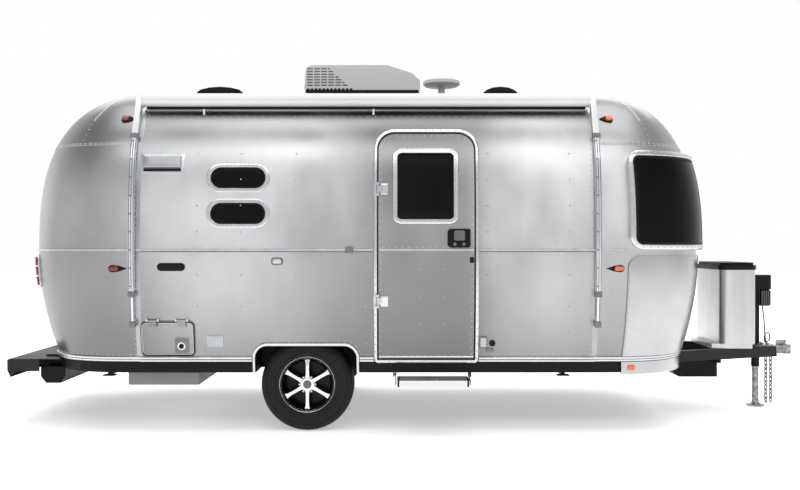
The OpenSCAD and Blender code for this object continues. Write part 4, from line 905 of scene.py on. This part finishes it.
# places on the wall that stay clear: door, baggage door, arch, windows, vent, badge and catch
CLEAR = [wider(DOOR, 0.05), (*wider(BAG, 0.02)[:3], BAG[3] + 0.05),
         (ARCH[0] - 0.04, 0.3, ARCH[1] + 0.04, ARCH_TOP + 0.04),
         wider((WIN_X - WIN_W / 2, WIN_Z[0], WIN_X + WIN_W / 2, WIN_Z[1] + WIN_H), 0.05),
         (-2.05, 1.9, -1.745, 2.035), (-1.95, 1.17, -1.72, 1.26), (-1.12, 1.22, -1.01, 1.29)]
SEAM_IN, ROW_FOOT, COLUMN_TOP = (0.013, 0.034), 0.575, 2.34
inner = (SEAM[0] + 0.05, SEAM[1] - 0.05)
holes = {-1: CLEAR, 1: CLEAR[2:4]}
groups = []
for side, _ in SIDES:
    pts = [p for x in [SEAM[0] + d for d in SEAM_IN] + [SEAM[1] - d for d in SEAM_IN]
           for p in column(x, ROW_FOOT, COLUMN_TOP, 0.038)]
    for z, step in ((BELT + 0.018, 0.06), (0.572, 0.05), (2.325, 0.06)):
        pts += row(*inner, z, step)
    on = on_side(side)
    groups.append((on, outside(pts, holes[side]), 0.0))
    groups += [(on, spaced(capsule(z, 0.0), 0.02, 0.032), 0.0115) for z in WIN_Z]
    groups.append((on, [p for p in spaced(arch_line(0.44), 0.03, 0.045) if p[1] > 0.57], 0.0))
groups.append((D, spaced(door_line(GAP), 0.015, 0.055), 0.0138))
for key, place in (("front", F), ("rear", R)):
    whole = LEN[key][-1]
    round_cap = every(0.03, whole - 0.03, 0.05)
    groups += [(place, [(s, z) for s in round_cap], 0.0012) for z in (SEAM_Z - 0.006, SEAM_Z + 0.006)]
    groups.append((place, [(s, 0.572) for s in round_cap
                           if key == "rear" or not g0 - 0.02 < min(s, whole - s) < g1 + 0.02], 0.0))
    groups += [(place, [(s, z) for z in every(ROW_FOOT, COLUMN_TOP, 0.04) for s in (x, whole - x)],
                0.0018) for x in SEAM_IN]
    groups += [(place, column(dist(key, a), SEAM_Z + 0.03, 2.52, 0.04), 0.0012) for a in GORES]
edge = row(g0 + 0.11, g1 - 0.02, 1.288, 0.05)
for s in (g0 + 0.014, g1 - 0.012):
    edge += column(s, 0.58, 1.19, 0.05)
edge += [(LEN["front"][-1] - s, z) for s, z in edge]
groups += [(F, edge, 0.015), (F, spaced(front_line, 0.02, 0.055), 0.05),
           (R, spaced(rear_line, 0.02, 0.055), 0.014)]
rivets("body_rivets", groups)
snaps = [(x, z) for x in (-1.645, -1.33, -0.93, -0.425, 0.445, 0.46, 1.05)
         for z in (0.66, 0.74, 0.93, 1.16, 1.47, 1.66, 1.85, 2.04, 2.22)]
snaps += [(x, 0.75) for x in (-1.45, -1.1, -0.76, -0.6)]
rivets("wall_snaps", [(on_side(side), outside(snaps, holes[side]), 0.0) for side, _ in SIDES],
       r=0.0075, material=SEAMED)
rivets("door_rivets", [(D, spaced(pane_line, 0.019, 0.036), 0.0108),
                       (D, spaced(door_line(0.0), -0.016, 0.05), 0.0),
                       (D, row(DOOR[0] + 0.03, DOOR[2] - 0.03, BELT + 0.018, 0.05), 0.0)], "entry_door")


# ---- wheels
def wheel(tag, body):
    lo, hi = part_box("tyre_" + tag)
    c, r, half = (lo + hi) / 2, (hi.z - lo.z) / 2, (hi.y - lo.y) / 2
    out = -1 if c.y < 0 else 1

    def part(name, parts, material, smooth=40, stands_for=()):
        """A piece of this wheel, turned from (across, up, outwards) to the caravan's frame."""
        v, f = gather(parts)
        v = np.stack([v[:, 0] + c.x, c.y + out * v[:, 2], v[:, 1] + c.z], -1)
        piece(name % tag, (v, f), material, body, smooth, stands_for)

    wall = ((0.186, 0.03), (0.192, 0.016), (0.21, 0.008), (0.24, 0.002), (0.275, 0), (0.3, 0.003),
            (0.318, 0.012), (0.33, 0.024), (0.339, 0.036))
    prof = [(q, -half + d) for q, d in wall]
    w = (2 * half - 0.096) / 4                      # four treads with three grooves between them
    for k in range(4):
        z = -half + 0.048 + k * w
        prof.append((r - 0.0022, z + 0.004))
        if k < 3:
            prof += [(r - 0.0005, z + w * 0.5), (r - 0.0022, z + w - 0.007),
                     (r - 0.011, z + w - 0.005), (r - 0.011, z + w - 0.001)]
        else:
            prof += [(r - 0.001, z + w * 0.5), (r - 0.003, z + w - 0.003)]
    prof += [(q[0], -q[1]) for q in prof[8::-1]]
    part("tyre_%s_smooth", [lathe(prof, 120)], RUBBER, stands_for=("tyre_" + tag,))
    blocks, w = [], 0.64 / 60
    for t in turns(60):
        for s in (-1, 1):
            q = [((rr + e) * math.cos(t + d / r), (rr + e) * math.sin(t + d / r), s * zz)
                 for rr, zz in ((r - 0.004, half - 0.042), (0.322, half - 0.02))
                 for d in (-w, w) for e in (0.0, -0.01)]
            blocks.append((np.array(q), [[0, 2, 6, 4], [1, 5, 7, 3], [0, 4, 5, 1], [2, 3, 7, 6],
                                         [0, 1, 3, 2], [4, 6, 7, 5]]))
    part("tyre_%s_shoulder", blocks, RUBBER, 20)
    part("tyre_%s_ribs", [
        lathe([(q, half - 0.002), (q + 0.0012, half + 0.0006), (q + 0.0024, half - 0.002)], 110)
        for q in (0.232, 0.262, 0.296)], RUBBER)

    rim, lip = 0.206, half - 0.01
    barrel = [(0.17, -lip), (rim, -lip), (rim, -lip + 0.008), (0.184, -lip + 0.016), (0.176, 0.0),
              (0.184, lip - 0.02), (rim - 0.004, lip - 0.006), (rim, lip - 0.002),
              (rim - 0.002, lip + 0.002), (rim - 0.012, lip), (0.186, lip - 0.012),
              (0.172, lip - 0.03), (0.166, 0.0)]
    part("rim_%s_barrel", [lathe(barrel, 110)], DARK_ALLOY, stands_for=("rim_" + tag,))
    part("rim_%s_lip", [lathe([(rim - 0.0145, lip - 0.0035), (rim - 0.002, lip + 0.0025),
                               (rim + 0.0005, lip - 0.001), (rim - 0.004, lip - 0.008),
                               (rim - 0.016, lip - 0.008)], 110)], MACHINED)
    face = lip - 0.012
    dark, bright = [], []
    # a spoke's stations as (radius, half width, height); its dark web is wider and deeper
    spoke = ((0.036, 0.017, face - 0.004), (0.075, 0.0115, face - 0.002), (0.12, 0.0105, face - 0.001),
             (0.16, 0.0125, face - 0.003), (0.191, 0.022, face - 0.007))
    for k in range(6):
        t = math.radians(60 * k + 30)
        ct, st = math.cos(t), math.sin(t)
        for lst, g, d0, d1 in ((dark, 0.006, 0.036, 0.003), (bright, 0.0, 0.006, 0.0)):
            v = [[(rr * ct - s * st, rr * st + s * ct, z - d)
                  for s, d in ((-w - g, d0), (-w - g, d1), (w + g, d1), (w + g, d0))]
                 for rr, w, z in spoke]
            lst.append(sweep(np.array(v), closed=False))
    dark.append(lathe([(0.001, -0.005), (0.06, -0.005), (0.068, face - 0.02), (0.052, face - 0.004),
                       (0.001, face - 0.004)], 48))
    dark.append(lathe([(0.001, -0.03), (0.168, -0.03), (0.168, -0.022), (0.001, -0.022)], 64))
    bright.append(lathe([(0.031, face - 0.006), (0.05, face - 0.006), (0.05, face),
                         (0.044, face + 0.002), (0.031, face + 0.001)], 48))
    nv, nf = lathe([(0.0005, face - 0.018), (0.0095, face - 0.018), (0.0095, face - 0.002),
                    (0.005, face + 0.004), (0.0005, face + 0.005)], 12)
    for t in turns(6):
        bright.append((nv + [0.06 * math.cos(t), 0.06 * math.sin(t), 0], nf))
    part("rim_%s_web", dark, DARK_ALLOY, 30)
    part("rim_%s_spokes", bright, MACHINED, 30)
    part("rim_%s_cap", [lathe([(0.001, face - 0.004), (0.031, face - 0.004), (0.031, face + 0.004),
                               (0.026, face + 0.007), (0.001, face + 0.008)], 40)], PLATE)


wheel("door", "wheel_door_side")
wheel("off", "wheel_off_side")


# ---- lights
def pill(x0, z0, x1, z1):
    return dense(rrect(x0, z0, x1, z1, min(x1 - x0, z1 - z0) / 2 - 0.0008, 8), 0.02)


MARKER_Z = (1.174 + 0.012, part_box("amber_lights")[1].z - 0.058 + 0.01)
for key, lens, cad_node in (("front", AMBER, "amber_lights"), ("rear", RED, "red_lights")):
    s0, s1 = dist(key, 1.4) + 0.008, dist(key, 6.2) - 0.012
    for side, tag in ((1, "d"), (-1, "o")):
        for k, z in enumerate(MARKER_Z):
            tear = [(s0 - 0.01, z + 0.018), (s0 + 0.045, z - 0.002), (s1 - 0.016, z - 0.009),
                    (s1 + 0.004, z + 0.002), (s1 + 0.008, z + 0.018), (s1 + 0.004, z + 0.034),
                    (s1 - 0.016, z + 0.045), (s0 + 0.045, z + 0.038)]
            place, name = wrap(key, side), "%s_%d_%s" % (key, k, tag)
            plate("marker_base_" + name, place, dense(np.array(tear), 0.01), 0.0005, 0.01, 0.004,
                  BLACK)
            o = plate("marker_lens_" + name, place, pill(s0 + 0.046, z + 0.002, s1, z + 0.034),
                      0.009, 0.021, 0.006, lens)
            if side > 0 and k == 0:
                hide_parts(cad_node)
    for side, tag in ((1, "d"), (-1, "o")):
        if key == "front":
            plate("lower_marker_" + tag, lambda p, o: low_place(p, o) * [1, side, 1],
                  pill(dist(key, 9.6), 0.458, dist(key, 13.2), 0.498), 0.0102, 0.0195, 0.005, AMBER)
            continue
        s0, s1 = dist(key, 53), dist(key, 61)
        line = dense(rrect(s0, 1.056, s1, 1.298, 0.03, 8), 0.03)
        plate("tail_base_" + tag, wrap(key, side), line, 0.0005, 0.016, 0.004, BRIGHT)
        for j in range(3):
            z0 = 1.066 + j * 0.076
            plate("tail_lens_%s_%d" % (tag, j), wrap(key, side),
                  pill(s0 + 0.012, z0, s1 - 0.012, z0 + 0.068), 0.014, 0.03, 0.006, RED)

# ---- chains
lo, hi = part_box("safety_chains")
LINKS = 11
links, a = [], turns(20)
ring_x, ring_z = 0.012 * np.cos(a), 0.0235 * np.sign(np.sin(a)) * np.abs(np.sin(a)) ** 0.7
for x, y in ((lo.x + 0.008, -0.003), (hi.x - 0.008, 0.003)):
    for k in range(LINKS):
        zc = hi.z - 0.03 - k * ((hi.z - lo.z - 0.06) / (LINKS - 1))
        turn = math.radians(20 if k % 2 else 105)
        path = np.stack([ring_x * math.cos(turn), ring_x * math.sin(turn), ring_z], -1) + [x, y, zc]
        links.append(tube(path, 0.0052, 8, True))
piece("chain_links", gather(links), ZINC, smooth=60, stands_for=("safety_chains",))

# ---- finishes of the carried-over nodes
for material, bevel, names in (
        (SKIN, 0, "side_wall_door side_wall_off roof_panel door_leaf bag_door"),
        (END_SKIN, 0, "front_end_cap rear_end_cap"),
        (WOOD, 0, "floor_deck"),
        (BLACK, 0, "belly_tray wheel_wells door_handle"),
        (BLACK, 0.003, "jack_body"),
        (BLACK, 0.006, "underbody_boxes bottle_lid"),
        (BLACK, 0.008, "vent_lid_rear vent_lid_front"),
        (STEEL, 0, "bumper axle_beam step_frame stabiliser_mounts "
                   "stabiliser_rd stabiliser_ro stabiliser_fd stabiliser_fo"),
        (STEEL, 0.004, "chassis"),
        (STEEL, 0.006, "a_frame"),
        (ZINC, 0, "hubs jack_leg safety_chains"),
        (ZINC, 0.004, "coupler"),
        (RUBBER, 0, "tyre_door tyre_off"),
        (MACHINED, 0, "rim_door rim_off"),
        (GLASS, 0, "door_glass side_window_glass end_window_glass"),
        (BRIGHT, 0, "door_trim door_surround hinge_pins side_window_frames end_window_frames "
                    "body_rails arch_trims wall_fittings"),
        (BRIGHT, 0.002, "door_hinges step_tread"),
        (POLISHED, 0, "stone_guards"),
        (ROLLER, 0, "awning_roller"),
        (ARM, 0.003, "awning_arms"),
        (AMBER, 0, "amber_lights"),
        (RED, 0, "red_lights"),
        (WHITE, 0.022, "ac_shroud"),
        (WHITE, 0, "antenna"),
        (DUSK, 0.004, "roof_bases"),
        (COVER, 0, "bottle_cover"),
        (CABLE, 0, "front_cable"),
        (PLATE, 0, "step_arms")):
    for name in names.split():
        for slot in nodes[name].material_slots:
            slot.material = material
        if bevel:
            m = nodes[name].modifiers.new("edge", "BEVEL")
            m.width, m.segments, m.limit_method, m.angle_limit = bevel, 2, "ANGLE", math.radians(35)
            m.harden_normals = False


# ---- fittings on the door side
def pad(name, rect, r, o0, o1, material, body="caravan_body", edge=0.002, stands_for=()):
    return plate(name, D, dense(rrect(*rect, r, 8), 0.02), o0, o1, edge, material, body, stands_for)


def ring_on(name, rect, r, width, height, material, body="caravan_body"):
    return band(name, D, dense(rrect(*rect, r, 8), 0.02),
                [(0.0, 0.0004), (0.0, height), (width, height), (width, 0.0004)], material, body)


def disc(name, x, z, half, o0, o1, material, body="caravan_body", edge=0.002):
    """A round pad about (x, z)."""
    rect = (x - half, z - half, x + half, z + half)
    return pad(name, rect, half - 0.0005, o0, o1, material, body, edge)


SKIN_ON = 0.0004                                    # a fitting's foot stands this far off the skin
x = DOOR[2]
pad("vent_plate", (-2.062, 1.893, -1.74, 2.04), 0.006, SKIN_ON, 0.004, BRIGHT,
    stands_for=("wall_fittings",))
pad("vent_hood", (-2.038, 1.935, -1.762, 2.022), 0.006, 0.004, 0.022, SEAMED, edge=0.008)
pad("vent_slot", (-2.036, 1.908, -1.764, 1.93), 0.003, 0.004, 0.012, GASKET)
screws = [(s, z) for s in every(-2.05, -1.752, 0.075) for z in (1.899, 2.034)]
rivets("vent_screws", [(D, screws, 0.004)], r=0.0045)
pad("badge_plate", (-1.934, 1.187, -1.732, 1.245), 0.0285, SKIN_ON, 0.008, BLACK, edge=0.003)
pad("catch_base", (-1.11, 1.23, -1.023, 1.285), 0.02, SKIN_ON, 0.006, PLATE)
pad("catch_eye", (-1.098, 1.242, -1.035, 1.273), 0.014, 0.006, 0.011, BRIGHT)
pad("belt_catch", (-0.575, 1.318, -0.515, 1.362), 0.012, 0.006, 0.016, PLATE)
pad("filler_cover", (-1.587, 0.631, -1.464, 0.718), 0.006, SKIN_ON, 0.006, SEAMED)
pad("outlet_frame", (x + 0.04, 0.624, x + 0.098, 0.71), 0.006, SKIN_ON, 0.01, PLATE)
pad("outlet_cover", (x + 0.048, 0.634, x + 0.09, 0.7), 0.004, 0.01, 0.014, WHITE)
disc("round_cap", x + 0.134, 0.66, 0.022, SKIN_ON, 0.018, BLACK, edge=0.006)
pad("oval_cover", (x + 0.083, 0.596, x + 0.148, 0.622), 0.0125, SKIN_ON, 0.008, PLATE)

side_sheet("bag_skin", -1, BAG[0], BAG[2], BAG[1], BAG[3], SKIN_IN, 12,
           [("INTERSECT", wall_cut(-1, rrect(*BAG, 0.03)))], "baggage_door")
ring_on("bag_edge", wider(BAG, -0.006), 0.024, 0.005, 0.004, SEAMED, "baggage_door")
ring_on("bag_frame", wider(BAG, GAP + 0.001), 0.039, 0.006, 0.005, PLATE)
lock = (BAG[0] + 0.238, BAG[1] + 0.017, BAG[0] + 0.333, BAG[1] + 0.12)
cx, cz = (lock[0] + lock[2]) / 2, (lock[1] + lock[3]) / 2
pad("bag_lock_plate", lock, 0.01, 0.01, 0.0135, PLATE, "baggage_door")
disc("bag_lock_cup", cx, cz, 0.03, 0.0135, 0.018, BRIGHT, "baggage_door")
disc("bag_lock_knob", cx, cz, 0.018, 0.018, 0.026, BLACK, "baggage_door")

for k, z in enumerate((1.778, 0.969)):
    pad("hinge_plate_%d" % k, (DOOR[0] + 0.016, z - 0.04, DOOR[0] + 0.07, z + 0.04), 0.006, 0.004,
        0.0125, BRIGHT, "entry_door")
h, HANDLE_R = (DOOR[2] - 0.194, 1.356, DOOR[2] - 0.029, 1.492), (0.028, 0.012, 0.012, 0.028)
pad("handle_plate", h, HANDLE_R, 0.0125, 0.016, BLACK, "entry_door", 0.003, ("door_handle",))
pad("handle_base", h, HANDLE_R, SKIN_ON, 0.0125, GASKET, "entry_door")
pad("handle_paddle", (h[0] + 0.045, h[1] + 0.05, h[2] - 0.04, h[3] - 0.012), 0.014, 0.016, 0.028, DUSK,
    "entry_door", 0.008)
for k, dx in enumerate((0.04, 0.105)):
    disc("handle_lock_%d" % k, h[0] + dx + 0.012, h[1] + 0.026, 0.012, 0.016, 0.021, PLATE, "entry_door")
pad("door_nub", (0.328, 1.247, 0.356, 1.287), 0.006, 0.008, 0.014, BLACK, "entry_door")
rail("door_sill_line", D, run(DOOR[0] + 0.004, DOOR[2] - 0.004, DOOR[1] + 0.012), 0.006, 0.004,
     body="entry_door")
snaps = [(s, z) for s in (-0.03, 0.14) for z in (0.8, 1.0, 1.2)]
rivets("door_snaps", [(D, snaps, 0.0)], "entry_door", 0.0065, SEAMED)

# dark shadow lines along the belt and the rub rail
for side, tag in SIDES:
    on = on_side(side)
    parts = [strip_on(on, level_line(a, b, BELT - 0.0135, 20), 0.0028, 0.0015)
             for a, b in spans(side)]
    parts += [strip_on(on, level_line(a, b, RUB_Z, 20), 0.002, 0.0142) for a, b in spans(side, 0.03)]
    piece("shadow_lines_" + tag, gather(parts), PLATE)

# grooves, pins and joints of the awning arms
a_lo, a_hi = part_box("awning_arms")
arm_x = (a_lo.x, a_hi.x - 0.042)


def off_wall(height):
    return lambda p, o: side_pt(-1, p[:, 0], p[:, 1], height + o)


upper, lower = off_wall(0.0425), off_wall(0.0345)
grooves, pins, boss = [], [], []
for x0 in arm_x:
    for place, dxs, z0, z1, n, w in ((upper, (0.005, 0.021, 0.037), 1.03, 2.16, 40, 0.0024),
                                     (lower, (0.0105, 0.0315), 0.79, 1.01, 12, 0.002)):
        grooves += [strip_on(place, upright(x0 + dx, z0, z1, n), w, 0.0008) for dx in dxs]
    pins += column(x0 + 0.013, 1.08, 2.12, 0.13)
    xc = x0 + 0.021
    for z, w in ((2.17, 0.03), (1.02, 0.026), (0.8, 0.024)):
        y = side_pt(-1, np.array(xc), np.array(z), 0.038)[1]
        boss.append(bevelled_box((xc - w, y - 0.012, z - 0.022), (xc + w, y + 0.012, z + 0.022), 0.006))
piece("arm_grooves", gather(grooves), PLATE)
rivets("arm_pins", [(upper, pins, 0.0)], r=0.006, material=PLATE)
piece("arm_joints", gather(boss), PLATE)
r_lo, r_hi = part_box("awning_roller")
ry0, rz0, rr = (r_lo.y + r_hi.y) / 2, r_hi.z - 0.054, 0.05
piece("roller_ribs", gather([
    tube([(x, ry0 + (rr + 0.0004) * math.cos(t), rz0 + (rr + 0.0004) * math.sin(t))
          for x in np.linspace(r_lo.x + 0.02, r_hi.x - 0.02, 12)], 0.0016, 6)
    for t in np.radians((150, 172, 196, 214, 232))]), ROLLER)
piece("roller_shadow", bevelled_box((r_lo.x + 0.03, ry0 - 0.012, rz0 - rr - 0.016),
                                    (r_hi.x - 0.03, ry0 + 0.03, rz0 - rr + 0.004), 0.004), GASKET)

# ---- roof
s_lo, s_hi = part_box("ac_shroud")
slats = []
for y0, y1 in ((s_lo.y - 0.0012, s_lo.y + 0.001), (s_hi.y - 0.001, s_hi.y + 0.0012)):
    for k in range(7):
        z = s_lo.z + 0.055 + k * 0.0225
        for j in range(6):
            x0 = s_lo.x + 0.022 + j * 0.058
            x1 = min(x0 + 0.048, s_lo.x + 0.355 - k * 0.024)
            if x1 - x0 > 0.012:
                slats.append(bevelled_box((x0, y0, z), (x1, y1, z + 0.011), 0.0009))
piece("shroud_louvres", gather(slats), DUSK)
foot = [bevelled_box((s_lo.x + 0.012, y - 0.002, s_lo.z - 0.001),
                     (s_hi.x - 0.015, y + 0.002, s_lo.z + 0.022), 0.0015) for y in (s_lo.y, s_hi.y)]
foot += [bevelled_box((s_lo.x + 0.02 + k * 0.032, s_lo.y - 0.003, s_lo.z + 0.02),
                      (s_lo.x + 0.042 + k * 0.032, s_lo.y + 0.002, s_lo.z + 0.034), 0.001)
         for k in range(12)]
piece("shroud_foot", gather(foot), GASKET)

# ---- underbody, step and hitch
piece("waste_tank", bevelled_box((-2.239, -0.9, 0.314), (-1.697, 0.3, 0.4395), 0.01), GREY,
      stands_for=("underbody_boxes",))
hose_tube = [(-2.941, 0.4395), (-2.75, 0.4395), (-2.75, 0.375), (-2.79, 0.314), (-2.9, 0.314),
             (-2.941, 0.365)]
front_case = [(2.122, 0.4), (2.492, 0.4), (2.492, 0.266), (2.172, 0.266), (2.122, 0.3)]
under = [prism(hose_tube, -0.8, 0.8), prism(front_case, -0.15, 0.15)]
under += [bevelled_box((x, -0.3, 0.4003), (x + 0.04, 0.3, 0.4297), 0.002) for x in (2.142, 2.432)]
piece("underbody_cases", gather(under), BLACK, smooth=20)
t_lo, t_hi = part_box("step_tread")
x0, x1 = t_lo.x + 0.018, t_hi.x - 0.018
piece("tread_ribs", gather([
    bevelled_box((x0 + 0.01, t_lo.y + 0.012 + k * 0.021, t_hi.z - 0.0012),
                 (x1 - 0.01, t_lo.y + 0.022 + k * 0.021, t_hi.z + 0.0016), 0.001) for k in range(10)]),
      PLATE, "step_tread")
piece("tread_ends", gather([
    bevelled_box((e, t_lo.y - 0.002, t_lo.z - 0.001), (e + 0.014, t_hi.y - 0.02, t_hi.z + 0.002), 0.003)
    for e in (x0 - 0.001, x1 - 0.013)]), BLACK, "step_tread")
bolt_v, bolt_f = lathe([(0.0005, 0.0), (0.013, 0.0), (0.013, 0.009), (0.009, 0.012), (0.0005, 0.012)], 6)
hitch_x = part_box("coupler")[0].x
piece("hitch_bolts", gather([(bolt_v + [hitch_x + dx, y, 0.5252], bolt_f)
                             for dx in (0.03, 0.1, 0.17) for y in (-0.07, 0.07)]), ZINC, smooth=30)
jack_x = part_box("jack_body")[1].x
piece("jack_motor_fins", gather([
    bevelled_box((jack_x - 0.088 + k * 0.017, -0.0445, 0.862),
                 (jack_x - 0.08 + k * 0.017, -0.03, 0.985), 0.002) for k in range(5)]), DUSK)
